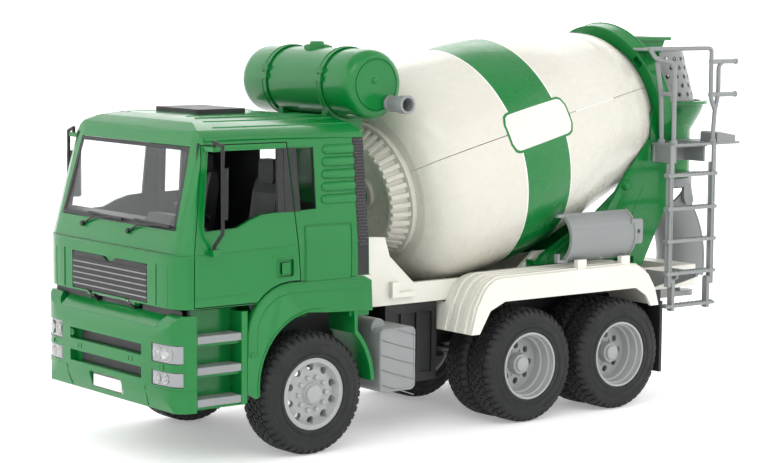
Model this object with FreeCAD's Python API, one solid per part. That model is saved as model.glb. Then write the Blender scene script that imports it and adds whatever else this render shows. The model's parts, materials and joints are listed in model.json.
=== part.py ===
"""Toy cement mixer truck, 1:16, as separate pieces.

Frame: the truck faces -X, its left (driver's) side faces -Y, +Z is up, z = 0 is the ground.
While the pieces are modelled, x is counted backwards from the front axle, and save() moves
each piece so that the origin lies under the middle of the truck.
"""
import FreeCAD, Part
import math
import os

V = FreeCAD.Vector
os.makedirs("parts", exist_ok=True)

# ---- driving dimensions, mm -------------------------------------------------------------
FRONT_END = -102.0            # bumper face, counted from the front axle
REAR_END = 408.6              # tow hitch
MIDDLE_AXLE = 177.8
REAR_AXLE = 260.5
HALF_WIDTH = 79.0             # cab sides and tyre outer faces
TYRE_R = 38.25
RIM_R = 22.4
FRONT_TYRE_W = 26.0
REAR_TYRE_W = 22.5
TWIN_GAP = 1.0                # between the two tyres of a twin wheel
AXLE_ROD_R = 2.5
AXLE_BORE_R = 2.55

CAB_FRONT = -98.6             # grille face
CAB_REAR = 42.8
CAB_BOTTOM = 97.8
ROOF_EDGE_Z = 195.0
ROOF_TOP_Z = 209.0
CAB_WALL = 2.4
DOOR_REAR_TOP = -18.1
DOOR_REAR_LOW = -11.2
DOOR_T = 2.4
DOOR_GAP = 0.6
ARCH_TOP = 108.9

DRUM_TILT = math.radians(13.43)
DRUM_FOOT = V(60.0, 0, 143.9)  # where the drum's axis crosses the front bearing
DRUM_WALL = 2.0
SEAM_ANGLE = 18.0              # the shells' parting line, above the horizontal on the left
GEAR_TEETH = 40
RING_STATIONS = (262.0, 273.0)
RING_R = (49.0, 58.5)

TANK_C = V(60.5, 0, 226.5)
TANK_R = 22.2
TANK_HALF = 60.0

FUNNEL_X = 374.0
PLATFORM_Z = 181.0
RAIL_R = 1.6
LADDER_X = (307.5, 349.2)
LADDER_Y = (-79.0, -74.0)
RUNG_Z = (159.1, 135.7, 112.9, 90.1)
LOW_RUNG_Z = 67.2
CHUTE_C = (330.8, 88.0)        # centre of the chute's bend, in side view
CHUTE_BEND_R = 71.0
CHUTE_R = 20.5
FRAME_X = (FRONT_END + REAR_END) / 2

# ---- small helpers ----------------------------------------------------------------------


def box(x, y, z):
    return Part.makeBox(x[1] - x[0], y[1] - y[0], z[1] - z[0], V(x[0], y[0], z[0]))


def rod(start, end, radius):
    run = end - start
    return Part.makeCylinder(radius, run.Length, start, run)


def pipe(points, radius):
    """A bent tube, filled: straight runs with a ball at each corner."""
    piece = rod(points[0], points[1], radius)
    for a, b in zip(points[1:], points[2:]):
        piece = piece.fuse(Part.makeSphere(radius, a)).fuse(rod(a, b, radius))
    return piece.removeSplitter()


def side_plate(outline, y):
    """A plate cut to an outline of (x, z) points, between two values of y."""
    points = [V(a, y[0], b) for a, b in outline]
    face = Part.Face(Part.makePolygon(points + points[:1]))
    return face.extrude(V(0, y[1] - y[0], 0))


def plan_plate(outline, z):
    points = [V(a, b, z[0]) for a, b in outline]
    face = Part.Face(Part.makePolygon(points + points[:1]))
    return face.extrude(V(0, 0, z[1] - z[0]))


def cross_plate(outline, x):
    points = [V(x[0], a, b) for a, b in outline]
    face = Part.Face(Part.makePolygon(points + points[:1]))
    return face.extrude(V(x[1] - x[0], 0, 0))


def arc_points(centre, radii, start, end, count):
    """Points on an elliptic arc, (a, b) pairs, angles in degrees."""
    turns = [math.radians(start + (end - start) * i / (count - 1)) for i in range(count)]
    return [(centre[0] + radii[0] * math.cos(t), centre[1] + radii[1] * math.sin(t)) for t in turns]


def mirrored(shape):
    return shape.mirror(V(0, 0, 0), V(0, 1, 0))


def both(shape):
    return [shape, mirrored(shape)]


def joined(pieces):
    whole = pieces[0].multiFuse(pieces[1:])
    return whole.removeSplitter()


def turned(outline, centre, axis, angle=360):
    """Revolve an outline of (distance along the axis, radius) points."""
    face = Part.Face(Part.makePolygon([V(a, 0, r) for a, r in outline + outline[:1]]))
    piece = face.revolve(V(0, 0, 0), V(1, 0, 0), angle)
    piece.Placement = FreeCAD.Placement(centre, FreeCAD.Rotation(V(1, 0, 0), axis))
    return piece


def rounded_edges(shape, radius, direction, keep=lambda edge: True):
    """Round the straight edges that run along a direction."""
    edges = [e for e in shape.Edges if e.Curve.TypeId == "Part::GeomLine"
             and abs(abs(e.Curve.Direction.dot(direction)) - 1) < 1e-6 and keep(e)]
    return shape.makeFillet(radius, edges)


def save(name, pieces):
    pieces = pieces if isinstance(pieces, list) else [pieces]
    solids = [solid for piece in pieces for solid in piece.Solids]
    whole = Part.makeCompound(solids) if len(solids) > 1 else solids[0]
    whole = whole.copy()
    whole.translate(V(-FRAME_X, 0, 0))
    whole.exportStep("parts/" + name + ".step")
    size = whole.BoundBox
    print(f"{name:22s} solids {len(solids):2d} valid {whole.isValid()} "
          f"x {size.XMin:7.1f} {size.XMax:7.1f} y {size.YMin:6.1f} {size.YMax:6.1f} "
          f"z {size.ZMin:6.1f} {size.ZMax:6.1f}")


# ---- wheels -----------------------------------------------------------------------------


def tyre(outer_y, width):
    """A tyre whose outer face is at outer_y, with rounded shoulders and a bead."""
    w = width
    outline = [(0, RIM_R + 0.1), (0, 31.0), (1.0, 35.5), (3.2, TYRE_R - 0.6), (5.5, TYRE_R),
               (w - 5.5, TYRE_R), (w - 3.2, TYRE_R - 0.6), (w - 1.0, 35.5), (w, 31.0),
               (w, RIM_R + 0.1)]
    return turned(outline, V(0, outer_y, TYRE_R), V(0, 1, 0))


def front_rim(side):
    """A domed disc in a short barrel, with ten hand holes near the lip and a hub cap."""
    w = FRONT_TYRE_W
    outline = [(0, 19.6), (0, RIM_R), (w, RIM_R), (w, 20.0), (9.0, 20.0), (6.0, 14.0),
               (5.2, AXLE_ROD_R), (0.4, AXLE_ROD_R), (0.8, 6.4), (2.2, 7.2), (2.6, 13.4), (4.0, 17.6)]
    wheel = turned(outline, V(0, 0, 0), V(0, 1, 0))
    hole = Part.makeCylinder(2.3, w / 2, V(0, -1, 16.6), V(0, 1, 0))
    holes = [hole.rotated(V(0, 0, 0), V(0, 1, 0), 36 * i) for i in range(10)]
    wheel = wheel.cut(Part.makeCompound(holes))
    cap = Part.makeCylinder(5.0, 1.6, V(0, 0, 0), V(0, 1, 0))
    nut = Part.makeCylinder(1.3, 2.0, V(0, 1.0, 10.4), V(0, 1, 0))
    nuts = [nut.rotated(V(0, 0, 0), V(0, 1, 0), 18 + 36 * i) for i in range(10)]
    wheel = joined([wheel, cap] + nuts)
    wheel.translate(V(0, -HALF_WIDTH + 1.2, TYRE_R))
    return wheel if side < 0 else mirrored(wheel)


def rear_rim(side):
    """A stepped barrel with a disc set deep inside, eight round holes and a nutted hub."""
    w = 2 * REAR_TYRE_W + TWIN_GAP
    outline = [(0, 21.0), (0, RIM_R), (w, RIM_R), (w, 20.6), (20.5, 20.6), (17.0, 15.5),
               (16.2, AXLE_ROD_R), (8.8, AXLE_ROD_R), (8.8, 6.6), (14.2, 7.4), (15.0, 14.6),
               (15.6, 17.8), (10.6, 18.4), (10.0, 19.4), (4.4, 19.9), (3.8, 20.8)]
    wheel = turned(outline, V(0, 0, 0), V(0, 1, 0))
    hole = Part.makeCylinder(2.2, 12.0, V(0, 12.0, 12.0), V(0, 1, 0))
    holes = [hole.rotated(V(0, 0, 0), V(0, 1, 0), 45 * i) for i in range(8)]
    wheel = wheel.cut(Part.makeCompound(holes))
    wheel = wheel.fuse(Part.makeCylinder(4.6, 1.4, V(0, 8.0, 0), V(0, 1, 0)))
    wheel.translate(V(0, -HALF_WIDTH + 0.6, TYRE_R))
    return wheel if side < 0 else mirrored(wheel)


def wheelset(name, x, twin):
    rod_end = HALF_WIDTH - (9.4 if twin else 1.6)
    axle = rod(V(x, -rod_end, TYRE_R), V(x, rod_end, TYRE_R), AXLE_ROD_R)
    rims = [rear_rim(side) if twin else front_rim(side) for side in (-1, 1)]
    for rim in rims:
        rim.translate(V(x, 0, 0))
    if twin:
        tyres = both(tyre(-HALF_WIDTH, REAR_TYRE_W)) + both(
            tyre(-HALF_WIDTH + REAR_TYRE_W + TWIN_GAP, REAR_TYRE_W))
    else:
        tyres = both(tyre(-HALF_WIDTH, FRONT_TYRE_W))
    tyres = [piece.cut(rod(V(0, -90, TYRE_R), V(0, 90, TYRE_R), RIM_R)) for piece in tyres]
    for piece in tyres:
        piece.translate(V(x, 0, 0))
    axle = axle.cut(Part.makeCompound(rims))
    save(name + "_axle_rod", axle)
    save(name + "_rims", rims)
    save(name + "_tyres", tyres)


wheelset("front", 0.0, False)
wheelset("middle", MIDDLE_AXLE, True)
wheelset("rear", REAR_AXLE, True)

# ---- chassis ----------------------------------------------------------------------------
RAIL_Y = (20.0, 26.0)
RAIL_Z = (50.0, 82.0)
PIVOT_X = -95.0
PIVOT_Z = 97.4
PIVOT_R = 1.3
PIVOT_BORE_R = 1.35
HANGER_HALF = 6.5


def chassis_frame():
    """Two deep rails, cross members, axle hangers and the side tubs ahead of the twin wheels."""
    rails = both(box((-78, 351.9), RAIL_Y, RAIL_Z))
    crosses = [box((x, x + 6), (-RAIL_Y[0], RAIL_Y[0]), (56, 76)) for x in (-78, 30, 119, 216, 300, 345.9)]
    hangers = []
    for x in (0.0, MIDDLE_AXLE, REAR_AXLE):
        block = box((x - HANGER_HALF, x + HANGER_HALF), RAIL_Y, (TYRE_R - 7, RAIL_Z[0] + 1))
        hangers += both(block)
    tubs = both(box((82, 125), (RAIL_Y[1] - 1, 44), (30, 82)))
    frame = joined(rails + crosses + hangers + tubs)
    for x in (0.0, MIDDLE_AXLE, REAR_AXLE):
        frame = frame.cut(rod(V(x, -90, TYRE_R), V(x, 90, TYRE_R), AXLE_BORE_R))
    for x in (85, 98, 111):
        frame = frame.cut(Part.makeCompound(both(box((x, x + 10), (42.5, 45), (36, 76)))))
    ear = side_plate([(-72, 56), (-72, 80), (-92.5, 99.2), (-97.2, 99.2), (-97.4, 95.6), (-89.4, 87.2),
                      (-86, 82), (-82, 56)], (20.0, 23.8))
    ear = ear.cut(rod(V(PIVOT_X, 0, PIVOT_Z), V(PIVOT_X, 40, PIVOT_Z), PIVOT_R))
    return joined([frame] + both(ear))


save("chassis_frame", chassis_frame())

SUB_Y = 45.0


def subframe():
    """The pale upper frame: two side beams, cross beams and the tall front pedestal."""
    profile = [(58, 82.5), (58, 128.6), (80.5, 127.2), (84.6, 114.6), (102.5, 98.0), (105, 96.0),
               (300, 96.0), (318, 90.0), (368, 90.0), (368, 74.0), (318, 74.0), (300, 82.5)]
    beams = both(side_plate(profile, (-SUB_Y, -SUB_Y + 4.5)))
    crosses = [box((58, 66), (-41, 41), (82.5, 120)), box((100, 106), (-41, 41), (82.5, 87.0)),
               box((300, 308), (-41, 41), (82.5, 96)), box((352, 368), (-41, 41), (74, 90))]
    ledges = both(box((60, 352), (26.5, 41), (82.5, 85.5)))
    hooks = both(side_plate([(84, 98), (84, 87.5), (103, 87.5), (103, 91), (90, 91), (90, 98)], (-49, -44)))
    gussets = both(side_plate([(196, 95), (246, 95), (246, 106), (232, 109), (214, 109)], (-41.0, -37.4)))
    frame = joined(beams + crosses + ledges + hooks + gussets)
    return frame


save("subframe", subframe())


LAMP_Z = ((65.4, 76.6), (51.6, 60.4))
SLOT_Z = ((67.4, 74.2), (53.4, 60.2))


def bumper():
    """The front bumper: a deep moulding with two slots, a plate recess and lamp pockets."""
    half = [(-66, -HALF_WIDTH), (-88, -HALF_WIDTH), (-93, -78.0), (-97, -75.0), (-99.6, -70.0),
            (-100.8, -60.0), (FRONT_END, -40.0)]
    outline = half + [(x, -y) for x, y in reversed(half)]
    body = plan_plate(outline, (36.0, 94.0))
    profile = [(-60, 36), (-98, 36), (-99.5, 40), (FRONT_END, 48), (FRONT_END, 80), (-99, 90), (-95, 94),
               (-60, 94)]
    body = body.common(side_plate(profile, (-90, 90)))
    body = body.cut(box((-90, -50), (-72, 72), (30, 99)))
    body = body.cut(box((-86, -50), (-90, 90), (30, 99)))
    for z in SLOT_Z:
        body = body.cut(box((-110, -97), (-42, 42), z))
        body = body.cut(box((-110, -85), (-36, 36), z))
    notch = [(-66, 99), (66, 99), (56, 86), (-56, 86)]
    body = body.cut(cross_plate(notch, (-110, -60)))
    body = body.cut(box((-110, -99.2), (-18.5, 18.5), (39.0, 49.5)))
    for z in LAMP_Z:
        body = body.cut(Part.makeCompound(both(box((-110, -93), (-77, -53), z))))
    return body


save("bumper", bumper())


def bumper_grilles():
    """The dark inserts at the back of the bumper's two slots."""
    return [box((-96.9, -94.9), (-36, 36), z) for z in SLOT_Z]


save("bumper_grilles", bumper_grilles())


def headlamps():
    """Four lamp units that follow the bumper's corners."""
    face = [(-93.0, -77.0), (-93.6, -77.0), (-97, -74.4), (-99.2, -69.5), (-100.3, -60), (-100.8, -53.0),
            (-93.0, -53.0)]
    lamps = []
    for z in LAMP_Z:
        lamps += both(plan_plate(face, z))
    return lamps


save("headlamps", headlamps())
save("number_plate", box((-99.99, -99.2), (-17.5, 17.5), (39.8, 48.6)))

STEP_Z = (81.4, 62.8, 43.7)
STEP_REAR = -49.82


def step_housing():
    """The stepped side wall between the bumper and the wheel arch, one for each side."""
    wall = box((-85.6, STEP_REAR), (-66, -63.5), (38.0, 95.0))
    rear = box((-54, STEP_REAR), (-HALF_WIDTH + 0.4, -63.5), (38, 94))
    floors = [box((-85.6, -50), (-76.5, -63.5), (z - 6.5, z - 4.6)) for z in STEP_Z]
    foot = box((-85.6, STEP_REAR), (-63.6, -RAIL_Y[0]), (44.0, RAIL_Z[0]))
    return joined([wall, rear, foot] + floors)


save("step_housings", both(step_housing()))


def treads():
    pieces = []
    for z in STEP_Z:
        pieces += both(box((-85.4, -54.2), (-78.6, -66.2), (z - 4.5, z)))
    return pieces


save("step_treads", treads())


def wheel_arch():
    """The front mudguard: a flanged arch over the wheel and a curved strip behind it."""
    outer = [(-44.0, 40.0), (-49.8, 44.0), (-49.8, 76.0)] + arc_points((-18, 78), (31.8, 30.9), 175, 92, 8)
    outer += [(38, ARCH_TOP), (43.5, ARCH_TOP - 3), (44.5, 86.8), (8, 88.5)]
    inner = arc_points((0, 46), (41.6, 44.0), 98, 187, 10)
    flange = side_plate(outer + inner, (-HALF_WIDTH, -HALF_WIDTH + 3.0))
    top = [(-49.8, 60.0), (-49.8, 76.0)] + arc_points((-18, 78), (31.8, 26.4), 175, 92, 8)
    top += [(43.0, 104.4), (43.0, 101.9), (-16, 101.9)] + arc_points((-18, 78), (29.3, 23.9), 92, 175, 8)
    top += [(-47.3, 60.0)]
    roof = side_plate(top, (-HALF_WIDTH + 2, -50))
    strip = [(30, 88.0), (33, 88.0)] + arc_points((0, 40), (46.4, 49.6), 45, 3, 7)
    strip += arc_points((0, 40), (43.6, 47.0), 3, 45, 7)
    tail = side_plate(strip, (-HALF_WIDTH, -52))
    hang = box((28.0, 43.0), (-HALF_WIDTH + 2, -HALF_WIDTH + 4.5), (84.0, 103.0))
    web = box((4, 30), (-53, -50), (93.0, 103.0))
    bracket = box((4, 30), (-53, -26.0), (93.0, 96.0))
    leg = box((4, 30), (-28.6, -26.0), (78.0, 96.0))
    return joined([flange, roof, tail, hang, web, bracket, leg])


save("front_wheel_arches", both(wheel_arch()))


def side_box():
    """The ribbed box behind the front wheel, with a small dome on its front corner."""
    body = box((50.5, 79.0), (-HALF_WIDTH, -44.5), (33.4, 74.0))
    body = rounded_edges(body, 4.0, V(0, 1, 0))
    for i in range(5):
        z = 33.0 + 9.5 * i
        groove = side_plate([(49, z + 6), (80, z - 4), (80, z - 3), (49, z + 7)], (-80, -78.4))
        body = body.cut(groove)
    dome = rod(V(56, -70, 74), V(56, -46, 74), 5.5)
    arm = box((52.5, 77.0), (-45, -RAIL_Y[1]), (56, 70))
    return joined([body, dome, arm])


save("battery_box", side_box())
save("fuel_tank", mirrored(side_box()))


def fender(side):
    """One mudguard over both rear axles: a bent sheet with lengthwise ribs and two posts."""
    low_front, low_rear = 63.4, 69.7
    outer = [(126.0, low_front), (131.0, 81.0)] + arc_points((153, 79), (20, 20), 160, 95, 5)
    outer += [(262, 100.0), (276, 98.6), (286, 92.0), (292.5, 82.0), (296.5, low_rear)]
    inner = [(293.6, low_rear), (289.6, 80.6), (283.6, 89.8), (274.6, 95.6), (262, 97.0)]
    inner += arc_points((153, 79), (16.8, 17.2), 95, 160, 5) + [(133.8, 80.0), (129.0, low_front)]
    sheet = side_plate(outer + inner, (-HALF_WIDTH, -33.0))
    skirt = outer + [(289, low_rear), (284, 77.5), (274.4, 83.3), (154.6, 83.3), (142, 78.0),
                     (133.0, low_front)]
    piece = sheet.fuse(side_plate(skirt, (-HALF_WIDTH, -HALF_WIDTH + 2.2)))
    posts = [box((x - 4, x + 4), (-77.5, -73.5), (98, 106)) for x in (224.5, 265.2)]
    piece = joined([piece] + posts)
    for y in (-70, -60, -50):
        rib = outer[:-2]
        lift = [(x - 0.7, z + 0.7) for x, z in rib]
        piece = piece.fuse(side_plate(rib + lift[::-1], (y - 2, y + 2)))
    inner_zone = box((100, 298), (-SUB_Y - 0.02, -20), (81.0, 110))
    piece = piece.cut(inner_zone)
    lip = box((298, 320), (-SUB_Y - 0.02, -20), (70, 110))
    piece = piece.cut(lip).removeSplitter()
    return piece if side < 0 else mirrored(piece)


save("rear_fender_left", fender(-1))
save("rear_fender_right", fender(1))


def mudflap():
    flap = box((299.0, 301.6), (-HALF_WIDTH + 1, -35), (22.0, 72.0))
    arm = box((296.5, 301.6), (-44, -RAIL_Y[1]), (64, 72.0))
    return joined([flap, arm])


save("mudflaps", both(mudflap()))

save("engine_block", joined([box((-20, 22), (-19.9, 19.9), (60, 92)), box((-14, 16), (-14, 14), (91, 95.5)),
                             rod(V(-32, 0, 72), V(-20, 0, 72), 14.0)]))
save("cab_pivot_pin", rod(V(PIVOT_X, -29.0, PIVOT_Z), V(PIVOT_X, 29.0, PIVOT_Z), PIVOT_R))

# ---- cab --------------------------------------------------------------------------------
SHEAR = 13.5 / 49.7           # how far the windscreen leans back, per mm of height
SHEAR_Z = 130.4
SHEAR_FRONT = -97.0
SHEAR_RISE = 81.6
LEAN = 0.0963                 # how far the sides lean in above the belt, per mm of height
LEAN_Z = 131.0
ARCH_GAP = 0.5


def cab_outline(front, half, corner):
    """The cab seen from above at one height, with rounded front corners."""
    right = [(60, -half), (front + corner, -half), (front + 0.6 * corner, -half + 0.12 * corner),
             (front + 0.28 * corner, -half + 0.44 * corner), (front + 0.08 * corner, -half + 1.03 * corner),
             (front, -half + 1.9 * corner), (front - 0.6, 0)]
    return right + [(x, -y) for x, y in right[-2::-1]]


def skin(outer, inner):
    """The layer of the cab's left side between two depths below its surface."""
    line = [(80, 0), (LEAN_Z, 0), (205, LEAN * (205 - LEAN_Z))]
    outline = [(-HALF_WIDTH + outer + lean, z) for z, lean in line]
    outline += [(-HALF_WIDTH + inner + lean, z) for z, lean in reversed(line)]
    return cross_plate(outline, (-110, 70))


def cab_block(inset):
    """The cab as a solid, or its inside when inset by the wall."""
    i = inset
    lower = plan_plate(cab_outline(CAB_FRONT + i, HALF_WIDTH - i, 11.0), (90, SHEAR_Z))
    points = [V(x, y, SHEAR_Z) for x, y in cab_outline(SHEAR_FRONT + i, HALF_WIDTH - i, 9.0)]
    face = Part.Face(Part.makePolygon(points + points[:1]))
    upper = face.extrude(V(SHEAR * SHEAR_RISE, 0, SHEAR_RISE))
    side = [(-101, CAB_BOTTOM + i), (-101, 180), (-80.5 + i, 196), (-77.5 + i, 202), (-72.5 + i, 206.4 - i),
            (-65, 208.6 - i), (-54, ROOF_TOP_Z + 0.4 - i), (0, ROOF_TOP_Z - i), (30, ROOF_TOP_Z - 2 - i),
            (37 - i, ROOF_TOP_Z - 5 - i), (41 - i, 198 - i), (CAB_REAR - i, CAB_BOTTOM + i)]
    half = HALF_WIDTH - i
    edge = half - LEAN * (ROOF_EDGE_Z - LEAN_Z)
    across = [(half, 80), (half, LEAN_Z), (edge, ROOF_EDGE_Z - i / 2), (edge - 1.5, 198 - i),
              (edge - 7, 202 - i), (edge - 17, 205.6 - i), (edge - 30, 208.2 - i), (0, ROOF_TOP_Z + 1.4 - i)]
    across += [(-y, z) for y, z in across[-2::-1]]
    return lower.fuse(upper).common(side_plate(side, (-90, 90))).common(cross_plate(across, (-110, 60)))


def arch_line(gap):
    return arc_points((-18, 78), (31.8 + gap, 30.9 + gap), 175, 92, 8)


def arch_room(gap, low_y):
    """The space that the wheel arch takes from the cab's lower side."""
    outline = [(-49.8 - gap, 60)] + arch_line(gap) + [(60, ARCH_TOP + gap), (60, 60)]
    return side_plate(outline, (-90, low_y))


def door_face(grow):
    """The door's outline, grown by a gap."""
    outline = [(-78.2, 193.5), (-87.4, LEAN_Z), (-87.4, 98.8), (-46.5, 98.8)]
    outline += [(x, z) for x, z in arch_line(ARCH_GAP + 0.5) if x > -45.5]
    outline += [(DOOR_REAR_LOW, ARCH_TOP + 1.0), (DOOR_REAR_TOP, 193.5)]
    points = [V(x, 0, z) for x, z in outline]
    face = Part.Face(Part.makePolygon(points + points[:1]))
    return face.makeOffset2D(grow) if grow else face


def door_solid(grow, outer, inner):
    """The left door's outline, grown by a gap, through one layer of the cab's side."""
    face = door_face(grow)
    face.translate(V(0, -HALF_WIDTH - 5, 0))
    return face.extrude(V(0, 25, 0)).common(skin(outer, inner))


WINDSCREEN = [(-62.6, 192.6), (62.6, 192.6), (66.3, 143.6), (-66.3, 143.6)]
QUARTER_WINDOW = [(-11.6, 190.0), (1.6, 190.0), (1.6, 152.6), (-10.4, 152.2)]
DOOR_WINDOW = [(-74.6, 190.0), (-22.4, 190.0), (-24.4, 152.2), (-38.5, 151.2), (-47.7, 148.4), (-57, 144.4),
               (-79.2, 143.4), (-80.2, 146.0)]
INTAKE = [(31.8, 195.0), (32.2, 146.0), (32.8, 109.8), (43.5, 109.8), (43.5, 195.0)]


def cab_shell():
    """The cab moulding: hollow, with window and door openings and pivot lugs under its nose."""
    room = cab_block(CAB_WALL)
    bulge = arch_room(ARCH_GAP + CAB_WALL, -47.0 + CAB_WALL)
    room = room.cut(Part.makeCompound(both(bulge)))
    shell = cab_block(0).cut(room)
    shell = shell.cut(Part.makeCompound(both(arch_room(ARCH_GAP, -47.0))))
    shell = shell.cut(cross_plate(WINDSCREEN, (-110, -70)))
    doors = both(door_solid(DOOR_GAP, -3.0, CAB_WALL + 0.6))
    shell = shell.cut(Part.makeCompound(doors))
    shell = shell.cut(Part.makeCompound(both(side_plate(QUARTER_WINDOW, (-90, -60)))))
    shell = shell.cut(Part.makeCompound(both(side_plate(INTAKE, (-90, -60)).common(skin(-3.0, 1.4)))))
    shell = shell.cut(box((30, 60), (-40, 40), (150, 188)))
    shell = shell.cut(box((-110, -97.4), (-44.1, 44.1), (98.9, 122.3)))
    slots = both(box((-100, -90.4), (19.5, 24.3), (90, 100.9)))
    shell = shell.cut(Part.makeCompound(slots))
    lug = rod(V(PIVOT_X, 24.4, PIVOT_Z), V(PIVOT_X, 28.0, PIVOT_Z), 2.7)
    shell = joined([shell] + both(lug))
    return shell.cut(rod(V(PIVOT_X, -60, PIVOT_Z), V(PIVOT_X, 60, PIVOT_Z), PIVOT_BORE_R))


save("cab_shell", cab_shell())


def leaning_sheet(outline, back, thick):
    """A sheet in the windscreen's slope, set back from the cab's face."""
    front = [V(SHEAR_FRONT + back + SHEAR * (z - SHEAR_Z), y, z) for y, z in outline]
    return Part.Face(Part.makePolygon(front + front[:1])).extrude(V(thick, 0, 0))


save("windscreen", leaning_sheet(WINDSCREEN, 0.5, 1.4))


def grille():
    """Black grille plate with five thin raised bars."""
    plate = box((-98.4, -97.4), (-44.1, 44.1), (98.9, 122.3))
    bars = [box((-98.9, -98.3), (-43, 43), (z, z + 0.7)) for z in (101.6, 105.8, 110.0, 114.2, 118.4)]
    return joined([plate] + bars)


save("grille", grille())


def wipers():
    pieces = []
    for y in (-40.0, 14.0):
        foot = V(-95.4, y + 22, 139.6)
        tip = V(-95.0, y - 20, 146.5)
        arm = pipe([foot, V(-96.0, y + 10, 144.8), tip], 0.7)
        blade = rod(V(-95.0, y - 24, 145.9), V(-95.0, y + 16, 147.1), 0.9)
        boss = rod(V(-97.0, y + 22, 139.6), V(-93.0, y + 22, 139.6), 1.6)
        pieces.append(joined([arm, blade, boss]).cut(cab_block(0)))
    return pieces


save("wipers", wipers())


def dashboard():
    """The dashboard with a binnacle hood and the steering column's bored socket."""
    outline = [(-93.0, 112), (-93.0, 141), (-88, 146), (-80, 147), (-74, 143.5), (-72, 134), (-78, 128),
               (-78, 112)]
    board = side_plate(outline, (-74, 74))
    hood = side_plate([(-88, 145), (-84, 151), (-76, 150.5), (-72.5, 144), (-74, 138), (-86, 138)],
                      (-52, -24))
    board = board.fuse(hood).common(cab_block(CAB_WALL + 0.05))
    floor = box((-78.5, -70), (-40, 40), (CAB_BOTTOM + CAB_WALL, 114))
    board = joined([board, floor])
    return board.cut(rod(WHEEL_C, WHEEL_C - WHEEL_AXIS * 26, COLUMN_R + 0.05))


WHEEL_AXIS = V(0.5, 0, 0.866)
WHEEL_C = V(-62.5, -38.0, 151.0)
COLUMN_R = 1.6
save("dashboard", dashboard())


def steering_wheel():
    rim = Part.makeTorus(10.5, 1.2, WHEEL_C, WHEEL_AXIS)
    spokes = []
    for turn in (0, 120, 240):
        arm = rod(V(0, 0, 0), V(10.5, 0, 0), 1.0).rotated(V(0, 0, 0), V(0, 0, 1), turn + 90)
        arm.Placement = FreeCAD.Placement(WHEEL_C, FreeCAD.Rotation(V(0, 0, 1), WHEEL_AXIS)).multiply(
            arm.Placement)
        spokes.append(arm)
    hub = rod(WHEEL_C - WHEEL_AXIS * 1.4, WHEEL_C + WHEEL_AXIS * 1.2, 3.0)
    column = rod(WHEEL_C - WHEEL_AXIS * 22, WHEEL_C, COLUMN_R)
    return joined([rim, hub, column] + spokes)


save("steering_wheel", steering_wheel())


def seat(y):
    """A bench-backed driver's seat with a head rest."""
    base = box((-42, -8), (y - 14, y + 14), (112.4, 122))
    base = rounded_edges(base, 3.0, V(0, 0, 1))
    inner = 38.0 * (1 if y > 0 else -1)
    pedestal = box((-39, -11), (inner - 6, inner + 6), (CAB_BOTTOM + CAB_WALL, 113))
    back = side_plate([(-16, 118), (-8, 118), (-1, 160), (-3, 168), (-7, 168), (-9.5, 160)], (y - 13, y + 13))
    rest = box((-8.5, -2.5), (y - 8, y + 8), (166, 181))
    rest = rounded_edges(rest, 2.4, V(1, 0, 0))
    return joined([base, pedestal, back, rest])


save("seats", [seat(-38.0), seat(38.0)])


def intake():
    outline = INTAKE[:3] + [(41.2, 109.8), (40.4, 195.0)]
    return side_plate(outline, (-90, -60)).common(skin(0, 1.4))


save("air_intakes", both(intake()))
HATCH_Z = 212.0
hatch = plan_plate([(-50, -25), (-14, -25), (-14, 25), (-50, 25)], (208.0, HATCH_Z))
save("roof_hatch", rounded_edges(hatch, 2.5, V(0, 0, 1)).cut(cab_block(0)))


def door(side):
    """A side door with its window, a recessed pull and the two lugs of the mirror."""
    panel = door_solid(0, 0, DOOR_T)
    panel = panel.cut(side_plate(DOOR_WINDOW, (-90, -60)))
    panel = panel.cut(box((-28.0, -16.4), (-90, -HALF_WIDTH + 1.3), (112.4, 123.8)))
    pull = box((-25.0, -18.6), (-HALF_WIDTH, -HALF_WIDTH + 1.6), (114.4, 121.4))
    lugs = [box((MIRROR_X - 2.2, MIRROR_X + 2.2), (MIRROR_Y - 2.2, -71.5), (190.6, 193.4)),
            box((MIRROR_X - 2.2, MIRROR_X + 2.2), (MIRROR_Y - 2.2, -HALF_WIDTH + 0.5), (129.0, 133.0))]
    lugs[0] = lugs[0].common(skin(-20, 1.5))
    panel = joined([panel, pull] + lugs)
    panel = panel.cut(rod(V(MIRROR_X, MIRROR_Y, 120), V(MIRROR_X, MIRROR_Y, 200), 1.15))
    return panel if side < 0 else mirrored(panel)


MIRROR_X = -75.6
MIRROR_Y = -81.6
MIRROR_ARM = (-74.9, -89.4)


def mirror(side):
    """A door mirror: a bent arm on two pivots, and a tall narrow head turned against the arm."""
    x, y = MIRROR_ARM
    arm = pipe([V(MIRROR_X, MIRROR_Y, 190.6), V(MIRROR_X, MIRROR_Y, 196.2), V(x, y, 194.0), V(x, y, 143.0),
                V(MIRROR_X, MIRROR_Y, 134.6), V(MIRROR_X, MIRROR_Y, 129.4)], 1.1)
    head = rounded_edges(box((-1.7, 1.7), (-4.6, 4.6), (151, 181)), 1.0, V(1, 0, 0))
    head = head.rotated(V(0, 0, 0), V(0, 0, 1), -38)
    head.translate(V(x + 3.0, y + 2.2, 0))
    bracket = box((x - 0.5, x + 3.5), (y - 0.9, y + 0.9), (158, 174))
    whole = joined([arm, head, bracket])
    return whole if side < 0 else mirrored(whole)


save("door_left", door(-1))
save("door_right", door(1))
save("mirror_left", mirror(-1))
save("mirror_right", mirror(1))

# ---- drum -------------------------------------------------------------------------------
DRUM_AXIS = V(math.cos(DRUM_TILT), 0, math.sin(DRUM_TILT))
PIN_R = 5.0
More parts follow.
